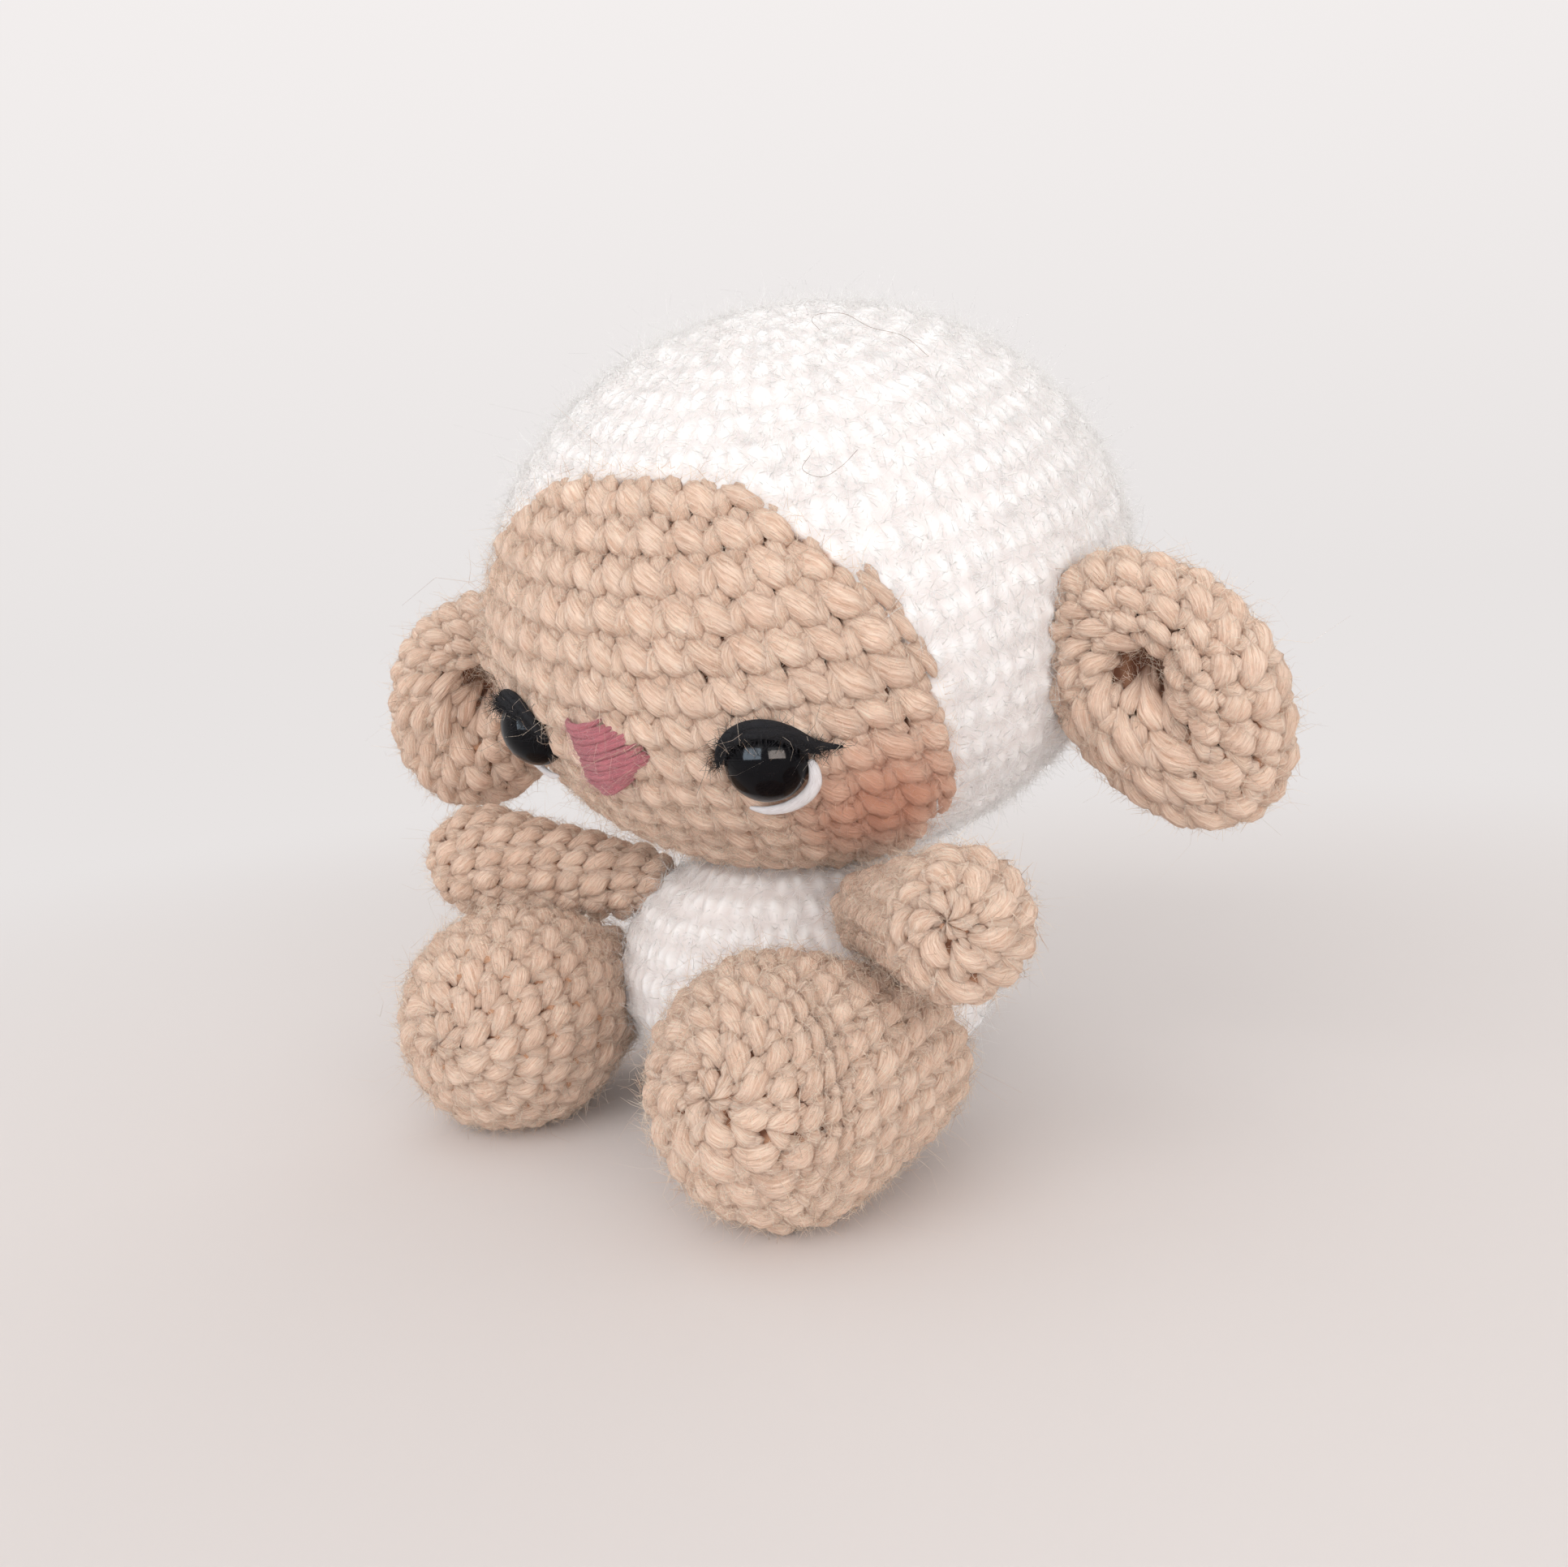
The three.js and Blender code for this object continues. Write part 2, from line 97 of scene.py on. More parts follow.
def unit(ways):
    return ways / np.linalg.norm(ways, axis=-1, keepdims=True)


def out_of(place, p):
    """Points given in a frame, in the surroundings of that frame."""
    place = np.array(place)
    return p @ place[:3, :3].T + place[:3, 3]


def in_scene(name, data):
    thing = bpy.data.objects.new(name, data)
    scene.collection.objects.link(thing)
    return thing


# Forms: a profile from the round that a piece is started at, turned about an axis


def arc(radius, height, middle, first, last, steps=80):
    angles = np.radians(np.linspace(first, last, steps))
    return np.stack([radius * np.cos(angles), middle + height * np.sin(angles)], 1)


def turned_tip(centre, axis, angle):
    """Turns the rounds at a limb's rounded end, so that their start lies where it was sewn."""

    def bent(p):
        q = p - (0, 0, centre)
        height = np.clip(q[..., 2] / (np.linalg.norm(q, axis=-1) + 1e-9), 0, 1)
        a = (np.sin(height * math.pi / 2) ** 1.5 * angle)[..., None]
        k = unit(np.array(axis))
        across = np.cross(np.broadcast_to(k, q.shape), q)
        along_k = (q @ k)[..., None] * k
        return q * np.cos(a) + across * np.sin(a) + along_k * (1 - np.cos(a)) + (0, 0, centre)

    return bent


class Form:
    """A round form on which stitches lie: how far along the profile, how far round, and how high above it."""

    def __init__(self, profile, place, stretch=(1, 1), dent=None, floor=False, hollow=None):
        steps = np.linalg.norm(np.diff(profile, axis=0), axis=1)
        self.far = np.concatenate([[0], np.cumsum(steps)])
        self.length = self.far[-1]
        self.profile, self.place, self.stretch = profile, place, stretch
        self.dent, self.hollow, self.floor = dent, hollow, floor

    def girth(self, s):
        return math.tau * np.interp(s, self.far, self.profile[:, 0])

    def plain(self, s, t):
        """A place on the form before it is dented."""
        folded = np.where(s > self.length, 2 * self.length - s, np.abs(s))
        over = np.where((s < 0) | (s > self.length), -1.0, 1.0)
        across = over * np.interp(folded, self.far, self.profile[:, 0])
        up = np.interp(folded, self.far, self.profile[:, 1])
        x = across * np.sin(t) * self.stretch[0]
        y = -across * np.cos(t) * self.stretch[1]
        return np.stack([x, y, up], -1)

    def on_axis(self, s, t):
        p = self.plain(s, t)
        return self.dent(p) if self.dent else p

    def shadow(self, s, t):
        """How deep in the form's hollow a place lies, from 0 to 1."""
        return self.hollow(self.plain(s, t)) if self.hollow else 0 * s

    def above_floor(self, p):
        if self.floor:
            p[..., 2] = np.maximum(p[..., 2], FLOOR_GAP)
        return p

    def point(self, s, t, h):
        """Points in millimetres for arrays of places on the form."""
        inner = np.where(np.abs(s) < POLE_GAP, POLE_GAP, s)
        inner = np.where(np.abs(inner - self.length) < POLE_GAP, self.length - POLE_GAP, inner)
        by_t = self.on_axis(inner, t + TINY_TURN) - self.on_axis(inner, t - TINY_TURN)
        by_s = self.on_axis(inner + TINY_STEP, t) - self.on_axis(inner - TINY_STEP, t)
        normal = np.cross(by_t, -by_s)
        normal /= np.linalg.norm(normal, axis=-1, keepdims=True) + 1e-12
        normal *= np.where((inner < 0) | (inner > self.length), -1.0, 1.0)[..., None]
        p = self.on_axis(s, t) + normal * h[..., None]
        return self.above_floor(out_of(self.place, p))


def egg_form(radius, half_height, place, **more):
    return Form(arc(radius, half_height, 0, 90, -90, 240), place, **more)


def limb_form(start, end, first_radius, last_radius, side=1, tip_towards=None, **more):
    place, length = along(mirrored(start, side), mirrored(end, side))
    if tip_towards:
        aim = place.to_3x3().inverted() @ Vector(tip_towards).normalized()
        up = Vector((0, 0, 1))
        more["dent"] = turned_tip(length, up.cross(aim), up.angle(aim))
    lean = -math.degrees(math.asin((last_radius - first_radius) / length))
    tip = arc(last_radius, last_radius, length, 90, lean)
    root = arc(first_radius, first_radius, 0, lean, -90)
    return Form(np.concatenate([tip, root]), place, **more)


def body_form():
    low = arc(BODY_RADIUS, BODY_WAIST + SEAT_PRESS, 0, 90, 0)
    high = arc(BODY_RADIUS, BODY_UPPER_HEIGHT, 0, 0, -90)
    place = Matrix.Translation((0, 0, BODY_WAIST)) @ turn("X", 180)
    return Form(np.concatenate([low, high[1:]]), place, floor=True)


def ear_form(side, azimuth, drop, turned, reach):
    """A flattened egg that hangs from its seam on the head, with a cup pressed into its front."""
    outward = HEAD_RADIUS * math.sqrt(1 - (drop / HEAD_HALF_HEIGHT) ** 2)
    a = math.radians(azimuth)
    seam = Matrix.Translation((side * outward * math.sin(a), -outward * math.cos(a), -drop))
    seam = HEAD @ seam @ turn("Z", side * turned) @ turn("Y", side * EAR_LEAN)
    tilted = Matrix.Translation((side * reach, 0, 0)) @ turn("Y", -side * EAR_TILT)
    face_on = Matrix(((1, 0, 0, 0), (0, 0, -1, 0), (0, 1, 0, 0), (0, 0, 0, 1)))
    mean = (EAR_HALF_WIDTH + EAR_HALF_HEIGHT) / 2
    cup_x, cup_y = EAR_CUPS[side]

    def pulled(p):
        rim = np.clip(np.hypot(p[..., 0], p[..., 1]) / mean, 0, 1)
        return p + (1 - rim)[..., None] * (cup_x, cup_y, 0)

    def cup(p, fall=CUP_FALL):
        q = pulled(p)
        across, down = q[..., 0] - cup_x, q[..., 1] - cup_y
        length = np.where(down > 0, CUP_RISE, fall)
        narrowed = CUP_HALF_WIDTH - CUP_NARROWING * np.clip(-down / 10, 0, 1)
        wide = np.where(down > 0, CUP_HALF_WIDTH, narrowed)
        front = np.clip(p[..., 2] / EAR_HALF_THICKNESS * 2.5, 0, 1)
        return np.exp(-((across / wide) ** 2) - (down / length) ** 2) * front

    # A rounder cup that gives the hollow's painted shade
    def shaded_hollow(p):
        return cup(p, HOLLOW_FALL)

    def cupped(p):
        q = pulled(p)
        q[..., 2] -= CUP_DEPTH * cup(p)
        return q

    stretch = (EAR_HALF_WIDTH / mean, EAR_HALF_HEIGHT / mean)
    place = seam @ tilted @ face_on
    return egg_form(mean, EAR_HALF_THICKNESS, place, stretch=stretch, dent=cupped, hollow=shaded_hollow)


# Yarn


def mesh_of(bm, name):
    mesh = bpy.data.meshes.new(name)
    bm.to_mesh(mesh)
    bm.free()
    return mesh


def strand(bm, path, widths, heights, sides):
    """A closed tube along a path. Its verts keep how far along and round the yarn they are."""
    yarn = bm.verts.layers.float_vector["yarn"]
    path = [Vector(point) for point in path]
    places = []
    for i, point in enumerate(path):
        ahead = (path[min(i + 1, len(path) - 1)] - path[max(i - 1, 0)]).normalized()
        side = Vector((0, 0, 1)).cross(ahead).normalized()
        square = Matrix((side * widths[i], ahead.cross(side) * heights[i], ahead)).transposed()
        places.append(Matrix.Translation(point) @ square.to_4x4())
    ring = bmesh.ops.create_circle(bm, segments=sides, radius=1)["verts"]
    angles = {v: math.atan2(v.co.y, v.co.x) for v in ring}
    bmesh.ops.transform(bm, matrix=places[0], verts=ring)
    far = 0.0
    for i in range(len(path)):
        if i:
            edges = {e for v in ring for e in v.link_edges if e.other_vert(v) in angles}
            made = bmesh.ops.extrude_edge_only(bm, edges=list(edges))["geom"]
            new = [g for g in made if isinstance(g, bmesh.types.BMVert)]
            at_place = {v.co.to_tuple(5): angles[v] for v in ring}
            angles = {v: at_place[v.co.to_tuple(5)] for v in new}
            bmesh.ops.transform(bm, matrix=places[i] @ places[i - 1].inverted(), verts=new)
            far += (path[i] - path[i - 1]).length
            ring = new
        for v in ring:
            a = angles[v] + YARN_TWIST * far
            v[yarn] = (far, math.cos(a), math.sin(a))


def strands_mesh(name, strands):
    """Closed strands, each given as path, half widths, half heights and sides."""
    bm = bmesh.new()
    bm.verts.layers.float_vector.new("yarn")
    for path, widths, heights, sides in strands:
        strand(bm, path, widths, heights, sides)
    bmesh.ops.holes_fill(bm, edges=bm.edges, sides=0)
    bmesh.ops.recalc_face_normals(bm, faces=bm.faces)
    return mesh_of(bm, name)


# A stitch's strands by points: x in stitch widths, y in rounds, z, half width and half height in millimetres
BROAD_LEG = (
    (-0.30, 0.56, -1.5, 0.8, 0.5), (-0.21, 0.40, -0.95, 1.15, 0.75), (-0.06, 0.20, -0.5, 1.45, 0.95),
    (0.10, 0.01, -0.15, 1.68, 1.1), (0.26, -0.17, 0.02, 1.75, 1.15), (0.39, -0.32, -0.12, 1.62, 1.05),
    (0.48, -0.45, -0.6, 1.25, 0.8), (0.52, -0.54, -1.4, 0.7, 0.45),
)
SMALL_LEG = (
    (-0.21, 0.30, -1.3, 0.7, 0.5), (-0.30, 0.12, -0.65, 1.05, 0.8), (-0.36, -0.09, -0.25, 1.3, 0.95),
    (-0.36, -0.28, -0.12, 1.35, 1.0), (-0.31, -0.43, -0.5, 1.15, 0.8), (-0.27, -0.54, -1.3, 0.65, 0.45),
)
LOOP = (
    (0.22, 0.68, -1.3, 0.7, 0.45), (0.28, 0.54, -0.75, 1.1, 0.8), (0.35, 0.38, -0.5, 1.2, 0.9),
    (0.41, 0.20, -0.62, 1.1, 0.8), (0.46, 0.05, -1.2, 0.7, 0.45),
)


def stitch_template():
    """One single crochet: a broad leg, a small leg beside it and a loop above them."""
    strands = []
    for rows, sides in ((BROAD_LEG, 9), (SMALL_LEG, 6), (LOOP, 6)):
        path = [(x * STITCH_WIDTH, y * ROUND_HEIGHT, z) for x, y, z, _, _ in rows]
        strands.append((path, [row[3] for row in rows], [row[4] for row in rows], sides))
    return strands_mesh("stitch", strands)


STITCH = stitch_template()
# How much stitches differ: turn in radians, growth, shift aside and along, fullness and shift outward
STITCH_CHANGES = (0.07, 0.04, 0.12, 0.11, 0.06, 0.09)


def copies(template, count, batch=250):
    """One mesh that holds a template many times over."""

    def joined(meshes):
        bm = bmesh.new()
        for mesh in meshes:
            bm.from_mesh(mesh)
        return mesh_of(bm, "copies")

    many = joined([template] * batch)
    mesh = joined([many] * (count // batch) + [template] * (count % batch))
    bpy.data.meshes.remove(many)
    return mesh


def coordinates(mesh, attribute=None):
    data = mesh.attributes[attribute].data if attribute else mesh.vertices
    flat = np.zeros(len(mesh.vertices) * 3, np.float32)
    data.foreach_get("vector" if attribute else "co", flat)
    return flat.reshape(-1, 3).astype(float)


def move(mesh, p):
    """Puts a mesh's vertices at points in millimetres."""
    mesh.vertices.foreach_set("co", (p * MM).astype(np.float32).ravel())


def keep_values(mesh, name, values):
    attribute = mesh.attributes.new(name, "FLOAT", "POINT")
    attribute.data.foreach_set("value", np.asarray(values, np.float32).ravel())


def own_tones(mesh, own, n):
    """Gives each of the n copies in a mesh a tone from 0 to 1."""
    keep_values(mesh, "tone", np.repeat(own.uniform(0, 1, n), len(mesh.vertices) // n))


def wavy(p, size, seed, parts=6):
    """A soft noise from sines, in three directions, about -1 to 1."""
    own = seeded(seed)
    total = np.zeros_like(p)
    for _ in range(parts):
        way = own.normal(size=3)
        way *= math.tau / (size * np.linalg.norm(way)) * own.uniform(0.6, 1.5)
        total += np.sin(p @ way + own.uniform(0, 6.3))[..., None] * own.normal(size=3)
    return total / math.sqrt(parts)


def rounds_of(form, width=STITCH_WIDTH, height=ROUND_HEIGHT):
    """Where each stitch of a form lies: distance along the profile, angle round it, angular width and height.
    The form keeps the spiral that the rounds run in."""
    count = max(2, round(form.length / height))
    tall = form.length / count
    places, phase, phases = [], 0.0, []
    for i in range(count):
        s = (i + (0.5 if i else FIRST_ROUND)) * tall
        n = max(FEWEST_STITCHES, round(form.girth(s) / width))
        ahead = SLANT * math.tau / n
        step = (math.tau + ahead) / n
        phases.append(phase)
        for k in range(n):
            places.append((s + (k / n - 0.5) * tall, phase + k * step, step, tall))
        phase += ahead
    form.spiral = (tall, phases)
    return np.array(places)


def finish_piece(name, mesh, body, material, level=0):
    mesh.name = name
    mesh.update()
    mesh.shade_smooth()
    mesh.materials.clear()
    mesh.materials.append(material)
    piece = in_scene(name, mesh)
    if level:
        rounding = piece.modifiers.new("rounding", "SUBSURF")
        rounding.levels = rounding.render_levels = level
    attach(piece, body)
    return piece


def crochet(name, form, places, body, material, seed, lift=0.0, drawn=None):
    """Stitches laid on a form at their places, each a little unlike the next."""
    own = seeded(seed)
    n = len(places)
    mesh = copies(STITCH, n)
    co = coordinates(mesh).reshape(n, -1, 3)
    changes = (own.normal(0, much, n)[:, None] for much in STITCH_CHANGES)
    turned, growth, aside, upward, fuller, outward = changes
    x = (co[..., 0] * np.cos(turned) - co[..., 1] * np.sin(turned)) * (1 + growth) + aside
    y = (co[..., 0] * np.sin(turned) + co[..., 1] * np.cos(turned)) * (1 + growth) + upward
    z = co[..., 2] * (1 + fuller) + outward + lift
    s = places[:, :1] - y / ROUND_HEIGHT * places[:, 3:]
    t = places[:, 1:2] + x / STITCH_WIDTH * places[:, 2:3]
    if drawn:
        s, t = drawn(s, t)
    p = form.point(s, t, z)
    p += wavy(p, 3.2, seed + 1) * 0.11 + wavy(p, 9.0, seed + 2) * 0.12
    move(mesh, form.above_floor(p))
    yarn = coordinates(mesh, "yarn").reshape(n, -1, 3)
    yarn[..., 0] += own.uniform(0, 400, n)[:, None]
    mesh.attributes["yarn"].data.foreach_set("vector", yarn.astype(np.float32).ravel())
    own_tones(mesh, own, n)
    # Painted shade: how far each vertex is tinted dark, for the stitches' low parts and a form's hollow
    groove_shading = np.clip(-0.15 - co[..., 2] / 1.5, 0, 1) + 0.75 * form.shadow(s, t)
    keep_values(mesh, "groove_shade", np.clip(groove_shading, 0, 1))
    return finish_piece(name, mesh, body, material)


OVAL_WIDTH, OVAL_HEIGHT = 0.85, 1.8
OVAL_LEANS = ((-0.25, 0.22), (0.25, -0.12))


def swellings(form, places, seed, rows=560, columns=840):
    """The heights of a brushed surface, where each stitch's two legs show as soft ovals."""
    own = seeded(seed)
    by_s = np.linspace(0, form.length, rows)
    by_t = np.linspace(-math.pi, math.pi, columns, endpoint=False)
    radius = form.girth(by_s) / math.tau
    height = np.zeros((rows, columns))
    for s0, t0, step, _ in places:
        for offset, lean in OVAL_LEANS:
            near = np.flatnonzero(np.abs(by_s - s0) < 2.3 * OVAL_HEIGHT)
            t1 = t0 + offset * step + own.normal(0, 0.04) * step
            reach = int(3 * OVAL_WIDTH / max(radius[near].mean(), 0.6) / (math.tau / columns)) + 2
            reach = min(columns // 2, reach)
            middle = int(round((t1 + math.pi) / math.tau * columns))
            span = np.arange(middle - reach, middle + reach)
            gap = (by_t[span % columns] - t1 + math.pi) % math.tau - math.pi
            x = gap[None] * radius[near][:, None]
            y = (by_s[near] - s0 - own.normal(0, 0.15))[:, None]
            x, y = x * math.cos(lean) - y * math.sin(lean), x * math.sin(lean) + y * math.cos(lean)
            oval = np.exp(-((x / OVAL_WIDTH) ** 2) - (y / OVAL_HEIGHT) ** 2) * own.uniform(0.75, 1.1)
            here = np.ix_(near, span % columns)
            height[here] = np.maximum(height[here], oval)

    def at(s, t):
        row = np.clip(s / form.length, 0, 1) * (rows - 1)
        column = (t + math.pi) / math.tau * columns
        r0, c0 = np.minimum(row.astype(int), rows - 2), np.floor(column).astype(int)
        fr, fc = row - r0, column - c0
        c1 = c0 + 1
        low, high = (height[r, c0 % columns] * (1 - fc) + height[r, c1 % columns] * fc for r in (r0, r0 + 1))
        return low * (1 - fr) + high * fr

    return at


# How deep under the stitches a filling lies and how much it swells, in millimetres
CORE, BEHIND_FACE, HEAD_SHEET, BODY_SHEET = (0.9, 0.4), (0.85, 0.4), (0.4, 0.75), (0.45, 0.85)
PANEL_EDGE = 0.94
KNOT_RADIUS = 1.5


def filling(name, form, body, material, lie, size=(100, 48), brushed=None, has_face=False):
    """The stuffed form under the stitches, as one closed mesh of so many rings and sides. It swells under
    each round, or at each brushed stitch."""
    bm = bmesh.new()
    bmesh.ops.create_uvsphere(bm, u_segments=size[1], v_segments=size[0], radius=1)
    mesh = mesh_of(bm, name)
    co = coordinates(mesh)
    s = np.arccos(np.clip(co[:, 2], -1, 1)) / math.pi * form.length
    t = np.arctan2(co[:, 0], -co[:, 1])
    tall, phases = form.spiral
    phase = np.interp(s / tall, np.arange(len(phases)), phases)
    ridge = np.cos(math.tau * (s / tall - (t - phase) / math.tau))
    below, swell = lie
    # depth holds the painted shade: most between the ridges or ovals, less at the knots, more in a hollow
    height, depth = swell * ridge - below, 0.5 - 0.5 * ridge
    panel = 0 * s
    if brushed:
        ovals = brushed(s, t)
        height, depth = swell * ovals - below, 1 - ovals
    if has_face:
        panel = (face_oval(s, t) < PANEL_EDGE) * 1.0
        height = np.where(panel > 0, BEHIND_FACE[1] * ridge - BEHIND_FACE[0], height)
        depth = np.where(panel > 0, 0.5 - 0.5 * ridge, depth)
    knot = np.exp(-((s / KNOT_RADIUS) ** 2)) + np.exp(-(((form.length - s) / KNOT_RADIUS) ** 2))
    height, depth = height + 0.75 * below * knot, depth * (1 - knot)
    depth = np.clip(depth + form.shadow(s, t), 0, 1)
    p = form.point(s, t, height)
    if brushed:
        p += wavy(p, 2.2, len(name)) * 0.06 * (1 - panel[:, None])
    keep_values(mesh, "groove_shade", depth)
    keep_values(mesh, "panel", panel)
    move(mesh, form.above_floor(p))
    piece = finish_piece(name, mesh, body, material)
    return piece


def hair_template(parts):
    bm = bmesh.new()
    bmesh.ops.create_cone(bm, cap_ends=True, segments=3, radius1=1, radius2=0.35, depth=1)
    bmesh.ops.translate(bm, vec=(0, 0, 0.5), verts=bm.verts)
    upright = [e for e in bm.edges if abs(e.verts[0].co.z - e.verts[1].co.z) > 0.5]
    if parts > 1:
        bmesh.ops.subdivide_edges(bm, edges=upright, cuts=parts - 1)
    return mesh_of(bm, "hair")


SHORT_HAIR = hair_template(1)
LONG_HAIR = hair_template(3)


def hairs(name, roots, ways, lengths, width, curl, body, material, seed, template=LONG_HAIR):
    """Thin curled fibres from their roots, in millimetres."""
    own = seeded(seed)
    n = len(roots)
    mesh = copies(template, n)
    co = coordinates(mesh).reshape(n, -1, 3)
    ways = unit(ways)
    side = unit(np.cross(ways, own.normal(size=(n, 3))))
    third = np.cross(ways, side)
    bend = own.normal(0, curl, n)[:, None]
    thick = width * own.uniform(0.7, 1.3, n)[:, None]
    far, lengths = co[..., 2], lengths[:, None]
    sway = np.sin(far * 3 + own.uniform(0, 6.3, n)[:, None])
    p = roots[:, None] + ways[:, None] * (lengths * (far - 0.25 * np.abs(bend) * far**2))[..., None]
    p += side[:, None] * (lengths * bend * far**2 + co[..., 0] * thick)[..., None]
    p += third[:, None] * (lengths * 0.35 * sway * np.abs(bend) + co[..., 1] * thick)[..., None]
    p[..., 2] = np.maximum(p[..., 2], HAIR_FLOOR_GAP)
    move(mesh, p)
    own_tones(mesh, own, n)
    finish_piece(name, mesh, body, material)


def fuzz(name, form, count, size, body, material, seed, between, stand=0.5, span=None, keep=None,
         template=SHORT_HAIR, curl=0.55):
    """Loose fibres of a length and width on a form's stitches, with their roots between two heights."""
    own = seeded(seed)
    s = own.uniform(*(span or (0, form.length)), count * 4)
    wide = form.girth(s)
    s = s[own.uniform(0, wide.max(), len(s)) < wide][:count]
    t = own.uniform(0, math.tau, len(s))
    if keep:
        held = keep(s, t)
        s, t = s[held], t[held]
    n = len(s)
    roots = form.point(s, t, own.uniform(*between, n))
    out = unit(form.point(s, t, np.full(n, 2.0)) - form.point(s, t, np.zeros(n)))
    loose = own.normal(size=(n, 3))
    loose = unit(loose - (loose * out).sum(1, keepdims=True) * out)
    raised = np.abs(own.normal(stand, 0.35, n))[:, None]
    length, width = size
    lengths = length * np.minimum(own.lognormal(0, 0.45, n), 2.2)
    hairs(name, roots, out * raised + loose, lengths, width, curl, body, material, seed + 7, template)


# Materials


def feed(tree, node, inputs):
    """Sets a node's inputs, or links them where the value is another node's output."""
    for key, value in inputs.items():
        socket = node.inputs[key]
        if isinstance(value, bpy.types.NodeSocket):
            tree.links.new(value, socket)
        elif socket.type == "RGBA":
            socket.default_value = (*value, 1)
        else:
            socket.default_value = value


def add(tree, kind, inputs=None, **settings):
    node = tree.nodes.new(kind)
    for key, value in settings.items():
        setattr(node, key, value)
    feed(tree, node, inputs or {})
    return node


def new_material(name):
    material = bpy.data.materials.new(name)
    material.use_nodes = True
    return material, material.node_tree, material.node_tree.nodes["Principled BSDF"]


def ramp(tree, factor, *stops):
    """The colour between two stops, each a place and a colour."""
    node = add(tree, "ShaderNodeValToRGB", {"Fac": factor})
    for element, (place, colour) in zip(node.color_ramp.elements, stops):
        element.position = place
        element.color = (*colour, 1)
    return node.outputs["Color"]


def mix(tree, factor, a, b, kind="MIX"):
    return add(tree, "ShaderNodeMix", {0: factor, 6: a, 7: b}, data_type="RGBA", blend_type=kind).outputs[2]


def maths(tree, kind, *values):
    return add(tree, "ShaderNodeMath", dict(enumerate(values)), operation=kind).outputs[0]


def mapped(tree, *values, soft=False):
    """A value brought from one range to another, softly at both ends if asked."""
    kind = "SMOOTHSTEP" if soft else "LINEAR"
    return add(tree, "ShaderNodeMapRange", dict(enumerate(values)), interpolation_type=kind).outputs[0]


def noise(tree, where, scale, detail, roughness=0.5, distortion=0.0):
    given = dict(Vector=where, Scale=scale, Detail=detail, Roughness=roughness, Distortion=distortion)
    return add(tree, "ShaderNodeTexNoise", given).outputs["Fac"]


def bump(tree, height, strength, distance):
    given = dict(Height=height, Strength=strength, Distance=distance)
    return add(tree, "ShaderNodeBump", given).outputs[0]


def on_object(tree):
    return add(tree, "ShaderNodeTexCoord").outputs["Object"]


def attribute(tree, name, kind="Fac"):
    return add(tree, "ShaderNodeAttribute", attribute_name=name).outputs[kind]


def along_yarn(tree, scale):
    """The yarn's own map, drawn out along it."""
    given = dict(Vector=attribute(tree, "yarn", "Vector"), Scale=scale)
    return add(tree, "ShaderNodeMapping", given).outputs[0]


def mottled(tree):
    return noise(tree, on_object(tree), 260.0, 3.0, 0.55)


def linear(r, g, b):
    """Colour from 0 to 255 as the shader's own values."""
    return tuple(c / 255 / 12.92 if c <= 10 else ((c / 255 + 0.055) / 1.055) ** 2.4 for c in (r, g, b))


def head_point(azimuth, latitude, height=0.0):
    """A frame at a point on the head: its X to the side, its Y up and its Z outward, in millimetres."""
    a, b = math.radians(azimuth), math.radians(latitude)
    way = Vector((math.cos(b) * math.sin(a), -math.cos(b) * math.cos(a), math.sin(b)))
    at = Vector(u * r for u, r in zip(way, HEAD_SIZE))
    out = Vector(u / r for u, r in zip(way, HEAD_SIZE)).normalized()
    side = Vector((0, 0, 1)).cross(out).normalized()
    place = Matrix((side, out.cross(side), out)).transposed().to_4x4()
    return HEAD @ Matrix.Translation(at + out * height) @ place


BLACK, FULL = (0, 0, 0), (1, 1, 1)
# The third tan is painted shade for the stitches' crevices and hollows
TAN, TAN_DARK, TAN_GROOVE_SHADE = linear(253, 228, 210), linear(221, 182, 157), linear(168, 110, 76)
# The second colour of each pair below is painted shade between stitches and ovals
LINING_AND_GROOVE_SHADE = linear(190, 146, 116), linear(112, 72, 52)
BRUSHED_AND_GROOVE_SHADE = linear(250, 248, 247), linear(236, 230, 228)
BLUSH_CENTRE = tuple(c * MM for c in head_point(41, -21).translation)
BLUSH_REACH, BLUSH_COLOUR = 0.0125, linear(222, 152, 122)


def blushed(tree, mottle, colour):
    """Lays the cheek's soft blush over a colour, uneven at its border."""
    near = add(tree, "ShaderNodeVectorMath", {0: on_object(tree), 1: BLUSH_CENTRE}, operation="DISTANCE")
    uneven = maths(tree, "MULTIPLY_ADD", mottle, BLUSH_REACH * 0.5, near.outputs["Value"])
    fade = mapped(tree, uneven, BLUSH_REACH * 0.4, BLUSH_REACH * 1.5, 0.8, 0.0, soft=True)
    return mix(tree, fade, colour, BLUSH_COLOUR)


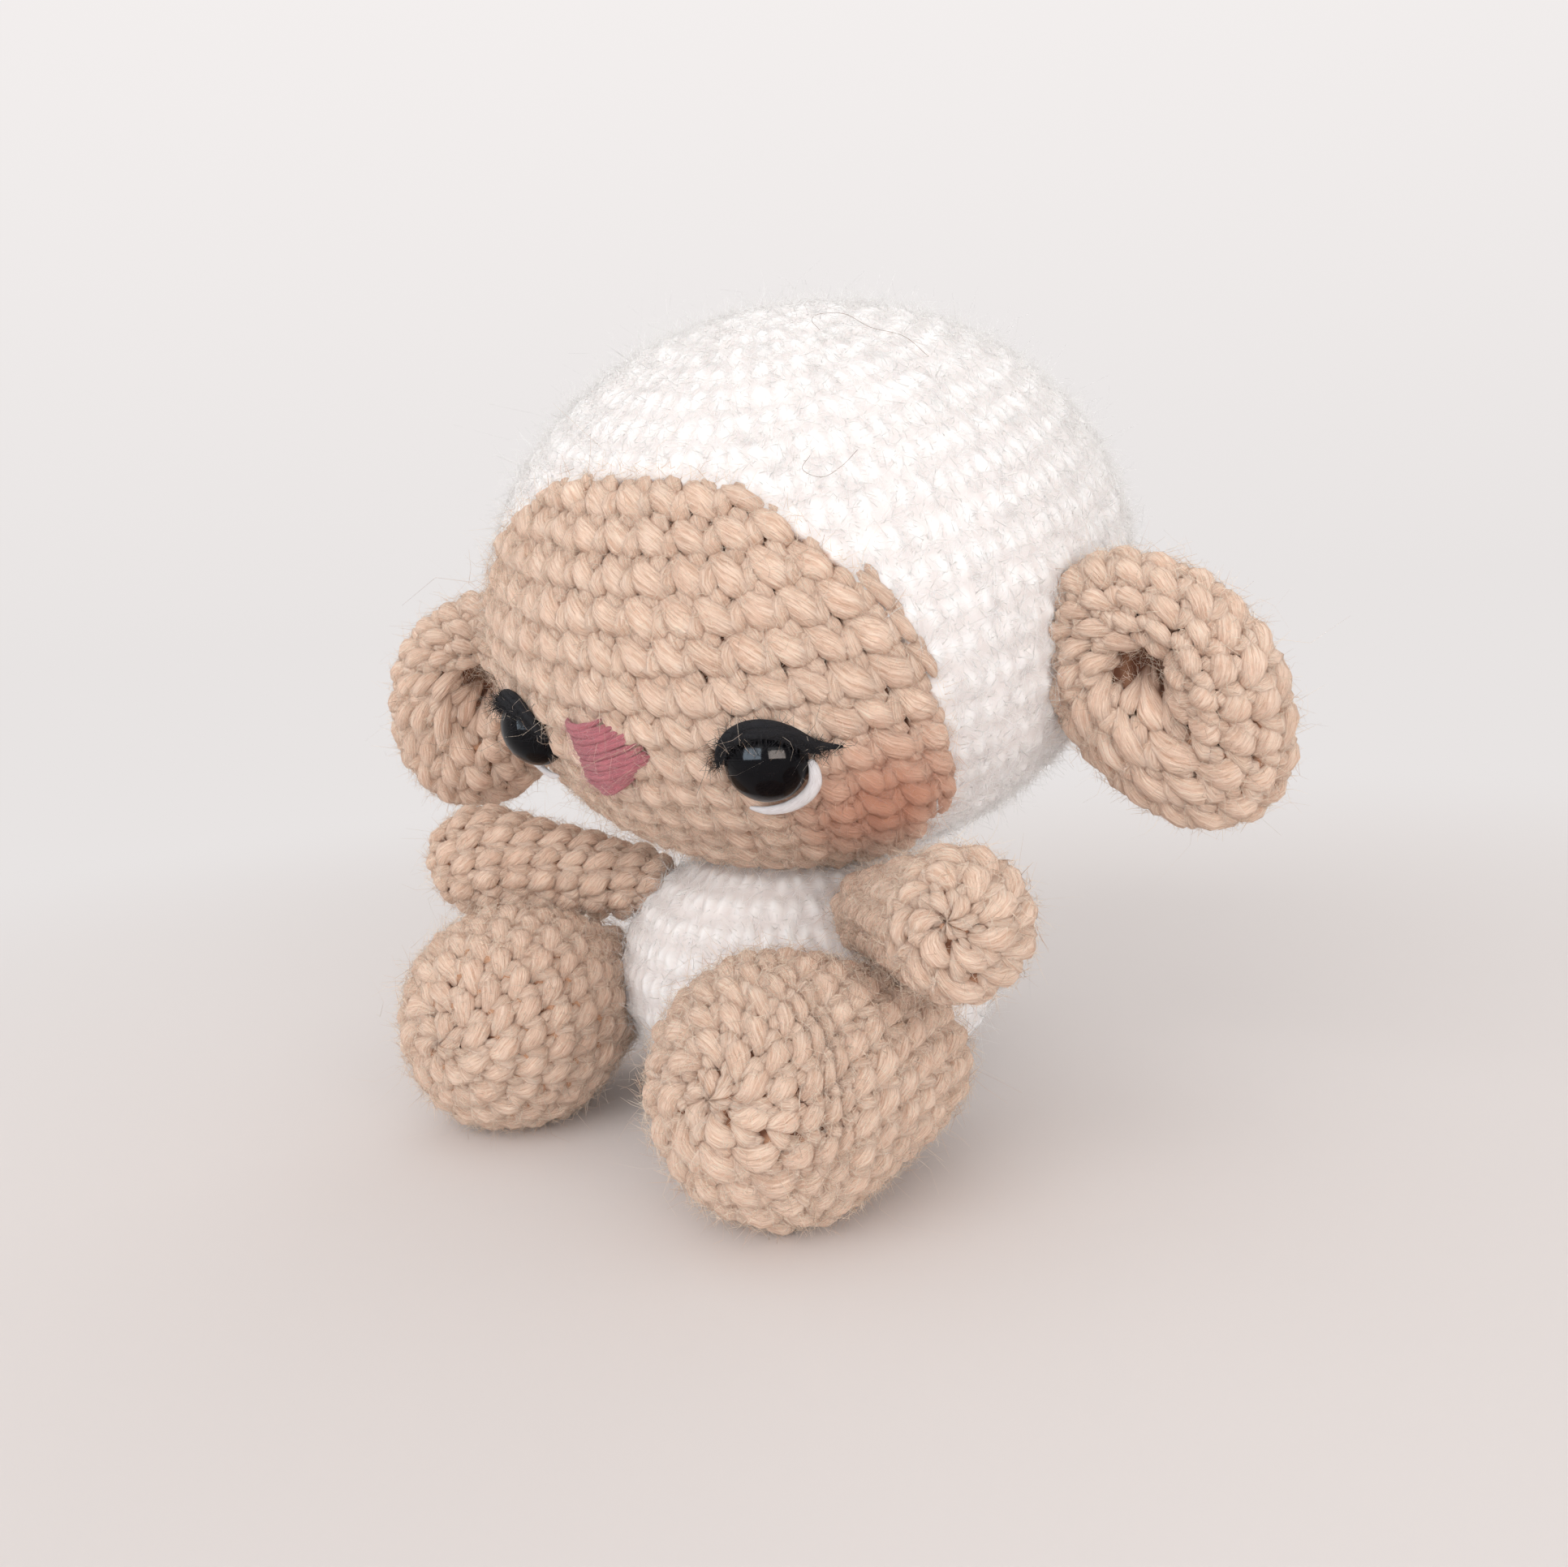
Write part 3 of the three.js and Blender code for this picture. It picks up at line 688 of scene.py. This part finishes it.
def yarn_material(name, blush=False):
    """Crochet yarn: fibre streaks along each strand, a tone for each stitch and painted shade in its
    crevices.
    """
    material, tree, shader = new_material(name)
    lengthwise = along_yarn(tree, (0.22, 3.4, 3.4))
    fibres = noise(tree, lengthwise, 1.6, 5.0, 0.62, 0.35)
    fine = noise(tree, lengthwise, 2.7, 4.0, 0.6)
    mottle = mottled(tree)
    colour = mix(tree, 0.85, TAN, ramp(tree, fibres, (0.36, TAN_DARK), (0.58, TAN)))
    for factor, strength, low, high in (
        (attribute(tree, "tone"), 0.8, (0.0, (0.93, 0.92, 0.91)), (1.0, (1.05, 1.05, 1.05))),
        (fine, 0.8, (0.36, (0.86, 0.80, 0.75)), (0.56, (1.08, 1.07, 1.06))),
        (mottle, 0.7, (0.35, (0.95, 0.93, 0.92)), (0.65, (1.03, 1.03, 1.02))),
    ):
        colour = mix(tree, strength, colour, ramp(tree, factor, low, high), "MULTIPLY")
    if blush:
        colour = blushed(tree, mottle, colour)
    # Painted shade: the yarn turns dark brown in its crevices and hollows
    groove_shading = ramp(tree, attribute(tree, "groove_shade"), (0.42, BLACK), (0.95, FULL))
    feed(tree, shader, {
        "Base Color": mix(tree, groove_shading, colour, TAN_GROOVE_SHADE),
        "Roughness": mapped(tree, fine, 0.0, 1.0, 0.78, 0.98),
        "Normal": bump(tree, maths(tree, "MULTIPLY_ADD", fine, 0.6, fibres), 0.7, 0.0010),
        "Specular IOR Level": 0.15,
        "Sheen Weight": 0.3, "Sheen Roughness": 0.55, "Sheen Tint": TAN,
        "Subsurface Weight": 0.2, "Subsurface Radius": (1.0, 0.8, 0.7), "Subsurface Scale": 0.0012,
    })
    return material


def plain_fibre(name, colour, sheen=0.4, vary=0.12, shaded=None):
    """Fuzz, threads and linings: one colour with a fine unevenness, and what the shading makes of it."""
    material, tree, shader = new_material(name)
    grain = noise(tree, on_object(tree), 900.0, 3.0)
    darker = tuple(c * (1 - vary) for c in colour)
    lighter = tuple(min(1, c * (1 + vary)) for c in colour)
    spread = ramp(tree, grain, (0.3, darker), (0.7, lighter))
    feed(tree, shader, {
        "Base Color": shaded(tree, spread) if shaded else spread,
        "Normal": bump(tree, grain, 0.4, 0.0002),
        "Roughness": 0.9, "Specular IOR Level": 0.15, "Sheen Weight": sheen, "Sheen Roughness": 0.5,
    })
    return material


def lining(name, ridge, groove_shade, brushed=False, panel=None):
    """Brushed yarn, or the yarn between stitches: painted shade in the crevices, and tan behind the face."""

    def shaded(tree, grain):
        # Painted shade: the colour runs darker where the lining lies between stitches or in a hollow
        fade = ramp(tree, attribute(tree, "groove_shade"), (0.15, BLACK), (0.95, FULL))
        colour = mix(tree, fade, grain, groove_shade)
        if panel:
            colour = mix(tree, attribute(tree, "panel"), colour, mix(tree, fade, *panel))
        return colour

    material = plain_fibre(name, ridge, 0.6 if brushed else 0.15, 0.03, shaded)
    if brushed:
        tree = material.node_tree
        soft = {"Subsurface Weight": 0.5, "Subsurface Radius": (1.0, 0.9, 0.85), "Subsurface Scale": 0.002}
        feed(tree, tree.nodes["Principled BSDF"], soft)
    return material


def loose_fibre(name, colour, darkest, blush=False, **more):
    """Fuzz in which each fibre has a shade of its own."""

    def shaded(tree, grain):
        shades = ramp(tree, attribute(tree, "tone"), (0.0, darkest), (0.6, FULL))
        colour = mix(tree, 1.0, grain, shades, "MULTIPLY")
        return blushed(tree, mottled(tree), colour) if blush else colour

    return plain_fibre(name, colour, shaded=shaded, **more)


TAN_FIBRE = (linear(250, 228, 208), (0.62, 0.46, 0.36))
tan_yarn = yarn_material("tan_yarn")
face_yarn = yarn_material("face_yarn", blush=True)
tan_lining = lining("tan_lining", *LINING_AND_GROOVE_SHADE)
brushed_wool = lining("brushed_wool", *BRUSHED_AND_GROOVE_SHADE, brushed=True)
head_wool = lining("head_wool", *BRUSHED_AND_GROOVE_SHADE, brushed=True, panel=LINING_AND_GROOVE_SHADE)
tan_fuzz = loose_fibre("tan_fuzz", *TAN_FIBRE)
face_fibre = loose_fibre("face_fibre", *TAN_FIBRE, blush=True)
white_fuzz = loose_fibre("white_fuzz", linear(250, 249, 248), (0.93, 0.92, 0.91), sheen=0.6, vary=0.03)

# Crocheted pieces

head = egg_form(HEAD_RADIUS, HEAD_HALF_HEIGHT, HEAD)
body = body_form()


def face_oval(s, t):
    """How far out a place on the head lies in the face's oval: 1 at its edge, more than 2 behind."""
    p = head.on_axis(s, t)
    oval = (p[..., 0] / FACE_HALF_WIDTH) ** 2 + ((p[..., 2] + FACE_DROP) / FACE_HALF_HEIGHT) ** 2
    return np.where(p[..., 1] < 0, oval, 3.0)


def in_face(s, t):
    return face_oval(s, t) < 1


def off_face(s, t):
    return ~in_face(s, t)


DRAWN_FROM, DRAWN_SHARE = 0.95, 0.5


def drawn_in(s, t):
    """The yarn near the face's edge, drawn in a little so that the edge runs clean."""
    oval = face_oval(s, t)
    p = head.on_axis(s, t)
    edge = (oval > DRAWN_FROM) & (oval < 2)
    draw = np.sqrt((DRAWN_FROM + (oval - DRAWN_FROM) * DRAWN_SHARE) / oval)
    x, z = p[..., 0] * draw, (p[..., 2] + FACE_DROP) * draw - FACE_DROP
    new_s = np.interp(-z, -head.profile[:, 1], head.far)
    new_t = np.arcsin(np.clip(x / np.interp(new_s, head.far, head.profile[:, 0]), -1, 1))
    return np.where(edge, new_s, s), np.where(edge, new_t, t)


head_rounds = rounds_of(head)
on_face = in_face(*head_rounds[:, :2].T)
face = crochet("head_face", head, head_rounds[on_face], "head", face_yarn, 11, drawn=drawn_in)
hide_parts("head_face_skin")
wool = swellings(head, head_rounds, 21)
inside = filling("head_wool", head, "head", head_wool, HEAD_SHEET, (220, 400), brushed=wool, has_face=True)
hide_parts("head_stuffing", "head_wool_skin")

wool = swellings(body, rounds_of(body), 31)
torso = filling("torso", body, "body", brushed_wool, BODY_SHEET, (180, 250), brushed=wool)
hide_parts("body_stuffing", "body_skin")


def middles(form, places):
    return form.point(*places[:, :2].T, np.zeros(len(places)))


def inside_torso(p):
    """Which points lie deeper in the torso than its own stitches do."""
    up = p[..., 2] - BODY_WAIST
    up = np.where(up > 0, up / BODY_UPPER_HEIGHT, up / BODY_WAIST)
    far = np.sqrt((p[..., 0] ** 2 + p[..., 1] ** 2) / BODY_RADIUS**2 + up**2)
    return far < 1 - HIDDEN_DEPTH / BODY_RADIUS


def inside_head(p):
    far = np.linalg.norm(out_of(HEAD.inverted(), p) / HEAD_SIZE, axis=-1)
    return far < 1 - HIDDEN_DEPTH / HEAD_RADIUS


outer_forms = {}


def limb(kind, side_name, form, seed, phase):
    """An arm or a leg: the stitches that lie outside the torso, and the stuffed core under them."""
    name = f"{kind}_{side_name}"
    outer_forms[name] = form
    places = rounds_of(form, *LIMB_STITCH)
    places[:, 1] += phase
    places = places[~inside_torso(middles(form, places))]
    piece = crochet(f"{name}_crochet", form, places, name, tan_yarn, seed, lift=LIMB_LIFT)
    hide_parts(f"{kind}_skin_{side_name}")
    core = filling(f"{name}_crochet_filling", form, name, tan_lining, CORE)
    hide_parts(f"{kind}_stuffing_{side_name}")


def ear(side_name, seed):
    """An ear: the stitches that lie outside the head and the hollow, and the lining under them."""
    name = f"ear_{side_name}"
    form = outer_forms[name] = ear_form(*EARS[side_name])
    places = rounds_of(form, *EAR_STITCH)
    # In the hollow the stitches are left out, so that the lining shows there with its painted shade
    shown = (form.shadow(*places[:, :2].T) <= HOLLOW_EDGE) & ~inside_head(middles(form, places))
    piece = crochet(f"{name}_crochet", form, places[shown], name, tan_yarn, seed)
    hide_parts(name)
    filling(f"{name}_filling", form, name, tan_lining, CORE, (80, 56))


SIDES = (("left", 1), ("right", -1))
for side_name, side in SIDES:
    foot_tip, paw_tip = TIPS[side]
    limb("leg", side_name, limb_form(*LEG, side, foot_tip, floor=True), 41 + side, 0.6 * side)
    limb("arm", side_name, limb_form(*ARM, side, paw_tip), 51 + side, 0.9)
    ear(side_name, 61 + side)

droop = math.radians(TAIL_DROOP)
tail_end = (0, TAIL_ROOT[1] + TAIL_LENGTH * math.cos(droop), TAIL_ROOT[2] - TAIL_LENGTH * math.sin(droop))
tail = limb_form(TAIL_ROOT, tail_end, *TAIL_RADII)
wool = swellings(tail, rounds_of(tail), 71)
tail_piece = filling("tail_wool", tail, "tail", brushed_wool, BODY_SHEET, (70, 60), brushed=wool)
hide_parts("tail")

# Eyes, lashes, whites and nose


def plastic(name, colour, roughness, specular=0.5):
    """Moulded plastic with faint rubbing marks."""
    material, tree, shader = new_material(name)
    rubbed = noise(tree, on_object(tree), 700.0, 4.0, 0.6)
    worn = tuple(c * 1.6 + 0.001 for c in colour)
    feed(tree, shader, {
        "Base Color": ramp(tree, rubbed, (0.3, colour), (0.8, worn)),
        "Roughness": mapped(tree, rubbed, 0.35, 0.75, roughness, roughness + 0.08),
        "Normal": bump(tree, rubbed, 0.03, 0.0001),
        "Specular IOR Level": specular,
    })
    return material


def thread_material(name, light, dark, sheen=0.3, streak=0.8, raised=0.6):
    """Thread or felted fibre: fine streaks along each strand, on its own map."""
    material, tree, shader = new_material(name)
    fibres = noise(tree, along_yarn(tree, (0.35, 2.4, 2.4)), 2.6, 4.0, 0.6, 0.2)
    feed(tree, shader, {
        "Base Color": mix(tree, streak, light, ramp(tree, fibres, (0.32, dark), (0.62, light))),
        "Normal": bump(tree, fibres, raised, 0.0004),
        "Roughness": 0.8, "Specular IOR Level": 0.2, "Sheen Weight": sheen, "Sheen Roughness": 0.45,
    })
    return material


eye_plastic = plastic("eye_plastic", (0.002, 0.002, 0.003), 0.05, specular=0.12)
washer_plastic = plastic("washer_plastic", (0.55, 0.55, 0.56), 0.4)
lash_felt = thread_material("lash_felt", (0.007, 0.006, 0.008), (0.002, 0.002, 0.003), sheen=0.02)
lash_fuzz = plain_fibre("lash_fuzz", (0.011, 0.010, 0.012), sheen=0.05)
white_thread = thread_material("white_thread", linear(243, 241, 243), linear(216, 210, 212), streak=0.7)
pink_thread = thread_material("pink_thread", linear(222, 128, 138), linear(164, 80, 96), raised=1.0)
pink_fuzz = plain_fibre("pink_fuzz", linear(216, 150, 154), sheen=0.5)
stray_fibre = plain_fibre("stray_fibre", linear(150, 128, 114))


def smooth_path(points, count):
    """Evenly many points on a soft curve through a few."""
    points = np.array(points, float)
    ends = np.vstack([2 * points[0] - points[1], points, 2 * points[-1] - points[-2]])
    out = []
    for u in np.linspace(0, len(points) - 1 - 1e-6, count):
        i = int(u)
        f = u - i
        a, b, c, d = ends[i : i + 4]
        square, cube = 2 * a - 5 * b + 4 * c - d, 3 * b - a - 3 * c + d
        out.append(0.5 * (2 * b + (c - a) * f + square * f**2 + cube * f**3))
    return out


def placed_strands(name, strands, place, material, level=1):
    mesh = strands_mesh(name, strands)
    mesh.transform(place)
    mesh.transform(Matrix.Scale(MM, 4))
    return finish_piece(name, mesh, "head", material, level)


def placed_hairs(name, roots, ways, place, lengths, width, curl, material, seed):
    """Fibres on the head, given in the frame of an eye or the nose."""
    ways = ways @ np.array(place)[:3, :3].T
    hairs(name, out_of(place, roots), ways, lengths, width, curl, "head", material, seed)


def swelling(middle, first, last):
    """Half widths of a strand that swells from one end to the other."""
    u = np.linspace(0, 1, PATH_POINTS)
    swell = (middle - (first + last) / 2) * np.sin(math.pi * u) ** 0.7
    return [float(v) for v in first * (1 - u) + last * u + swell]


# Each strand of a lash: its half width and its points round the left eye's middle
LASH_STRANDS = (
    (0.85, ((-5.7, 0.2, 0.5), (-5.2, 1.9, 1.0), (-4.2, 3.9, 1.1), (-2.5, 5.3, 1.1), (-0.2, 5.8, 1.1),
        (2.2, 5.3, 1.1), (4.2, 4.1, 1.1), (5.8, 2.7, 1.1), (7.4, 1.8, 0.8), (9.3, 1.3, 0.5))),
    (0.7, ((-5.5, 0.5, 0.7), (-4.7, 2.3, 1.2), (-3.6, 3.8, 1.6), (-1.9, 4.9, 2.0), (0.2, 5.3, 1.9),
        (2.4, 4.9, 1.8), (4.1, 3.7, 1.6), (5.7, 2.2, 1.3), (7.3, 1.4, 0.8))),
    (0.5, ((-4.8, 2.3, 1.2), (-3.7, 3.7, 1.8), (-2.1, 4.9, 2.1), (0.1, 5.3, 2.2), (2.4, 4.7, 2.1),
        (4.2, 3.4, 1.9), (5.6, 1.9, 1.5), (6.7, 1.1, 1.0))),
)
CRESCENT = ((5.2, 0.3, 0.8), (5.5, -1.0, 1.2), (5.2, -2.9, 1.4), (3.7, -4.7, 1.4), (1.4, -6.0, 1.2),
            (-1.2, -6.4, 1.0), (-3.4, -6.0, 0.6))
PATH_POINTS, LASH_HAIRS, LASH_STRAYS = 22, 260, 22
EYE_STEPS, EYE_BASE = 24, -0.6


def eye_dome(side_name, place):
    bm = bmesh.new()
    outline = [bm.verts.new((0, 0, EYE_BASE)), bm.verts.new((EYE_RADIUS, 0, EYE_BASE))]
    for i in range(EYE_STEPS + 1):
        a = math.radians(90 * i / EYE_STEPS)
        outline.append(bm.verts.new((EYE_RADIUS * math.cos(a), 0, EYE_HEIGHT * math.sin(a))))
    edges = [bm.edges.new(pair) for pair in zip(outline, outline[1:])]
    axis, middle = (0, 0, 1), (0, 0, 0)
    bmesh.ops.spin(bm, geom=outline + edges, cent=middle, axis=axis, angle=math.tau, steps=72, use_merge=True)
    bmesh.ops.remove_doubles(bm, verts=bm.verts, dist=0.001)
    bmesh.ops.recalc_face_normals(bm, faces=bm.faces)
    bmesh.ops.transform(bm, matrix=Matrix.Scale(MM, 4) @ place, verts=bm.verts)
    dome = finish_piece(f"eye_dome_{side_name}", mesh_of(bm, "eye"), "head", eye_plastic)
    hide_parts(f"eye_{side_name}")


def eye(side_name, side):
    """An eye's dome, the lash and its fibres, loose fibres across it, and the white crescent under it."""
    place = head_point(side * EYE_AZIMUTH, EYE_LATITUDE)
    eye_dome(side_name, place)

    def path_of(points, count=PATH_POINTS):
        return smooth_path([mirrored(point, side) for point in points], count)

    own = seeded(300 + side)
    strands, roots, ways = [], [], []
    for thick, points in LASH_STRANDS:
        thickness = swelling(thick, 0.2, 0.16)
        strands.append((path_of(points), thickness, thickness, 7))
        path = np.array(path_of(points, LASH_HAIRS))
        wander = unit(own.normal(0, 1, (LASH_HAIRS, 3)))
        wander[:, 2] = np.abs(wander[:, 2])
        roots.append(path + wander * thick * 0.8 * np.sin(np.linspace(0.25, 2.95, LASH_HAIRS))[:, None])
        ways.append(np.gradient(path, axis=0) * own.choice((-1, 1), LASH_HAIRS)[:, None] * 9 + wander * 1.1)
    lash = placed_strands(f"lash_band_{side_name}", strands, place, lash_felt)
    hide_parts(f"lash_{side_name}")
    roots, ways = np.concatenate(roots), np.concatenate(ways)
    lengths = 1.2 * own.lognormal(0, 0.4, len(roots))
    placed_hairs(f"lash_hairs_{side_name}", roots, ways, place, lengths, 0.035, 1.0, lash_fuzz, 310 + side)

    size = (LASH_STRAYS, 3)
    path = np.array(path_of(LASH_STRANDS[1][1], 60))
    strays = path[own.integers(4, 56, LASH_STRAYS)] + own.normal(0, 0.5, size) + (0, 0, 0.7)
    loose = own.normal(0, 1, size) * (1, 1, 0.25)
    lengths = 2.2 * own.lognormal(0, 0.3, LASH_STRAYS)
    placed_hairs(f"lash_strays_{side_name}", strays, loose, place, lengths, 0.018, 1.4, tan_fuzz, 330 + side)

    crescent = [(path_of(CRESCENT), swelling(0.95, 0.35, 0.2), swelling(0.5, 0.3, 0.2), 8)]
    white = placed_strands(f"eye_crescent_{side_name}", crescent, place, white_thread)
    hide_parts(f"eye_white_{side_name}")
    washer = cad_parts[f"eye_washer_{side_name}"].data.materials
    washer.clear()
    washer.append(washer_plastic)


for side_name, side in SIDES:
    eye(side_name, side)

# Each nose stitch from its first end to its last
NOSE_ENDS = (
    (-6.1, 4.9, 0.1, 5.7), (-6.2, 4.3, 1.3, 5.3), (-6.3, 3.6, 2.5, 5.2), (-6.4, 2.8, 3.4, 4.9),
    (-6.4, 2.0, 4.1, 4.5), (-6.5, 1.2, 4.6, 3.9), (-6.6, 0.3, 5.0, 3.2), (-6.7, -0.6, 5.4, 2.5),
    (-6.8, -1.5, 5.6, 1.7), (-6.9, -2.4, 6.1, 1.3), (-7.0, -3.3, 5.7, 0.6), (-6.8, -4.2, 4.9, 0.0),
    (-6.2, -4.8, 4.2, -0.6), (-5.3, -5.0, 3.4, -1.3), (-4.4, -5.1, 2.5, -2.0), (-3.5, -5.1, 1.5, -2.7),
)
NOSE_POINTS, NOSE_HAIRS = 12, 420
nose_place = head_point(-2.3, -6.2)
own = seeded(77)
strands = []
for x0, y0, x1, y1 in NOSE_ENDS:
    path, wide = [], []
    sway, lift, full = own.normal(0, 0.10), own.normal(0, 0.07), own.uniform(0.85, 1.15)
    for u in np.linspace(0, 1, NOSE_POINTS):
        x, y = x0 + (x1 - x0) * u, y0 + (y1 - y0) * u
        rise = math.sin(math.pi * u) ** 0.55
        fall = (x * x + y * y) / 88
        y += sway * rise + own.normal(0, 0.05)
        path.append((x, y, -0.4 + (2.1 + lift) * rise - fall + own.normal(0, 0.05)))
        wide.append(full * (0.36 + 0.3 * math.sin(math.pi * u)))
    strands.append((path, wide, wide, 6))
nose = placed_strands("nose_stitches", strands, nose_place, pink_thread)
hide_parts("nose")
middle = np.array([p for path, _, _, _ in strands for p in path[1:-1]])
middle = middle[own.integers(0, len(middle), NOSE_HAIRS)] + own.normal(0, 0.25, (NOSE_HAIRS, 3))
middle[:, 2] += 0.35
ways = own.normal(0, 1, (NOSE_HAIRS, 3)) * (1, 1, 0.35)
lengths = 1.1 * own.lognormal(0, 0.4, NOSE_HAIRS)
placed_hairs("nose_fuzz", middle, ways, nose_place, lengths, 0.03, 0.8, pink_fuzz, 320)

# Fuzz: short fibres that lie on the yarn, and longer curled ones that stand off it

EYE_MIDDLES = [np.array(head_point(side * EYE_AZIMUTH, EYE_LATITUDE).translation) for side in (1, -1)]
EYE_CLEARANCE = 8


def off_eyes(s, t):
    """Places on the face that are clear of the eyes and lashes."""
    p = head.point(s, t, 0 * s)
    nearest = np.min([np.linalg.norm(p - middle, axis=-1) for middle in EYE_MIDDLES], axis=0)
    return in_face(s, t) & (nearest > EYE_CLEARANCE)


WHITE_NAP = dict(material=white_fuzz, between=(-0.3, 0.5), stand=0.12)
WHITE_FUZZ = dict(material=white_fuzz, between=(0, 0.5), template=LONG_HAIR, curl=0.9)
TAN_NAP = dict(between=(0.1, 0.85), stand=0.12)
TAN_FUZZ = dict(between=(0.2, 0.9), stand=0.4, template=LONG_HAIR, curl=1.0)
TAN_NAP_SIZE = (1.35, 0.03)
NAP_COUNTS = {"leg": 9000, "arm": 3600, "ear": 5200}

for i in range(3):
    fuzz(f"wool_nap_{i + 1}", head, 25000, (1.7, 0.037), "head", seed=81 + i, keep=off_face, **WHITE_NAP)
fuzz("wool_fuzz", head, 9500, (2.1, 0.024), "head", seed=85, keep=off_face, **WHITE_FUZZ)
fuzz("face_nap", head, 62000, TAN_NAP_SIZE, "head", face_fibre, 91, keep=in_face, **TAN_NAP)
fuzz("face_fuzz", head, 16000, (2.6, 0.024), "head", face_fibre, 92, keep=off_eyes, **TAN_FUZZ)
for name, form in outer_forms.items():
    count = NAP_COUNTS[name[:3]]
    seed = 100 + len(name) * 7 + (name[4:] == "left")
    fuzz(f"{name}_nap", form, count, TAN_NAP_SIZE, name, tan_fuzz, seed, **TAN_NAP)
    fuzz(f"{name}_fuzz", form, count // 7, (2.4, 0.022), name, tan_fuzz, seed + 40, **TAN_FUZZ)
torso_span = (6, body.length - 12)
fuzz("torso_nap", body, 10500, (1.7, 0.036), "body", seed=131, span=torso_span, **WHITE_NAP)
fuzz("torso_fuzz", body, 1800, (2.6, 0.028), "body", seed=132, span=torso_span, **WHITE_FUZZ)
fuzz("tail_nap", tail, 1500, (1.7, 0.036), "tail", seed=141, **{**WHITE_NAP, "stand": 0.15})

# Two stray fibres on the wool, by azimuth and latitude on the head
STRAY_WAYS = (
    ((62, 70), (66, 74), (76, 75), (84, 72), (80, 66), (84, 61), (81, 55)),
    ((40, 44), (38, 42), (41, 40), (45, 41), (49, 43)),
)
STRAY_POINTS, STRAY_RADIUS, STRAY_HEIGHT = 40, 0.028, 1.5
strands = []
for way in STRAY_WAYS:
    points = [head_point(azimuth, latitude, STRAY_HEIGHT).translation for azimuth, latitude in way]
    radii = [STRAY_RADIUS] * STRAY_POINTS
    strands.append((smooth_path(points, STRAY_POINTS), radii, radii, 5))
placed_strands("stray_fibres", strands, Matrix.Identity(4), stray_fibre, level=0)

# Camera, light and floor, in metres

camera = scene.camera = in_scene("camera", bpy.data.cameras.new("camera"))
right = Vector((0.75204956, 0.65582626, -0.06567632))
above = Vector((-0.03920187, 0.14397531, 0.98880449))
backward = Vector((0.65793972, -0.74105534, 0.13398619))
facing = Matrix((right, above, backward)).transposed().to_4x4()
camera.matrix_world = Matrix.Translation((0.117086, -0.134662, 0.067462)) @ facing
camera.data.lens = 28.64
camera.data.sensor_width = 36
camera.data.sensor_fit = "HORIZONTAL"
camera.data.clip_start = 0.005
LAMP_TARGET = (0, 0, 0.06)


def softbox(name, at, size, power):
    light = bpy.data.lights.new(name, "AREA")
    light.shape = "RECTANGLE"
    light.size, light.size_y = size
    light.energy = power
    lamp = in_scene(name, light)
    look = Vector(at) - Vector(LAMP_TARGET)
    lamp.matrix_world = Matrix.Translation(at) @ look.to_track_quat("Z", "Y").to_matrix().to_4x4()
    return lamp


softbox("window", (0.05, -0.95, 0.62), (1.0, 0.8), 4.6)
softbox("back_fill", (-0.3, 0.95, 0.22), (0.9, 0.6), 2.2)
softbox("second_window", (0.98, -0.5, 0.3), (0.8, 0.6), 4.3)
for name, at, size, colour in (
    ("window_pane", (0.04, -0.9, 0.155), (0.74, 0.66), (0.72, 0.86, 1.0)),
    ("second_pane", (0.83, -0.41, 0.07), (0.70, 0.58), (1.0, 0.86, 0.78)),
):
    pane = softbox(name, at, size, 24.0)
    pane.data.color = colour
    pane.visible_diffuse = False
    pane.visible_transmission = False
softbox("ceiling", (-0.15, 0.1, 1.2), (1.2, 1.2), 1.0)


def pale_rays(tree):
    """Rays that see the plain background: the camera's, and those that a gloss or a clear piece sends on."""
    ray = add(tree, "ShaderNodeLightPath").outputs
    total = ray["Is Camera Ray"]
    for kind in ("Is Glossy Ray", "Is Transmission Ray"):
        total = maths(tree, "MAXIMUM", total, ray[kind])
    return total


def choose(tree, factor, first, second, output):
    """Shows the second shader where the factor is 1, and the first elsewhere."""
    chosen = add(tree, "ShaderNodeMixShader", {0: factor, 1: first.outputs[0], 2: second.outputs[0]})
    feed(tree, tree.nodes[output], {0: chosen.outputs[0]})


BACKGROUND, BACKGROUND_ABOVE = linear(232, 228, 227), linear(243, 239, 238)
world = scene.world = bpy.data.worlds.new("studio")
world.use_nodes = True
sky = world.node_tree
glow = sky.nodes["Background"]
feed(sky, glow, {"Color": (1.0, 0.965, 0.95), "Strength": 0.68})
way = add(sky, "ShaderNodeSeparateXYZ", {0: add(sky, "ShaderNodeTexCoord").outputs["Generated"]})
wall = ramp(sky, way.outputs["Z"], (0.0, BACKGROUND), (0.42, BACKGROUND_ABOVE))
plain = add(sky, "ShaderNodeBackground", {"Color": wall})
choose(sky, pale_rays(sky), glow, plain, "World Output")

FLOOR_RADIUS, FADE_START, FADE_END = 3, 0.09, 0.34
bm = bmesh.new()
bmesh.ops.create_circle(bm, cap_ends=True, segments=96, radius=FLOOR_RADIUS)
mesh = mesh_of(bm, "floor")
material, tree, shader = new_material("studio_floor")
feed(tree, shader, {"Base Color": linear(226, 221, 219), "Roughness": 0.9, "Specular IOR Level": 0.1})
far = add(tree, "ShaderNodeVectorMath", {0: on_object(tree)}, operation="LENGTH").outputs["Value"]
fade = mapped(tree, far, FADE_START, FADE_END, soft=True)
pale = add(tree, "ShaderNodeEmission", {"Color": BACKGROUND})
choose(tree, maths(tree, "MULTIPLY", pale_rays(tree), fade), shader, pale, "Material Output")
mesh.materials.append(material)
floor = in_scene("floor", mesh)
scene.view_settings.view_transform = "Standard"
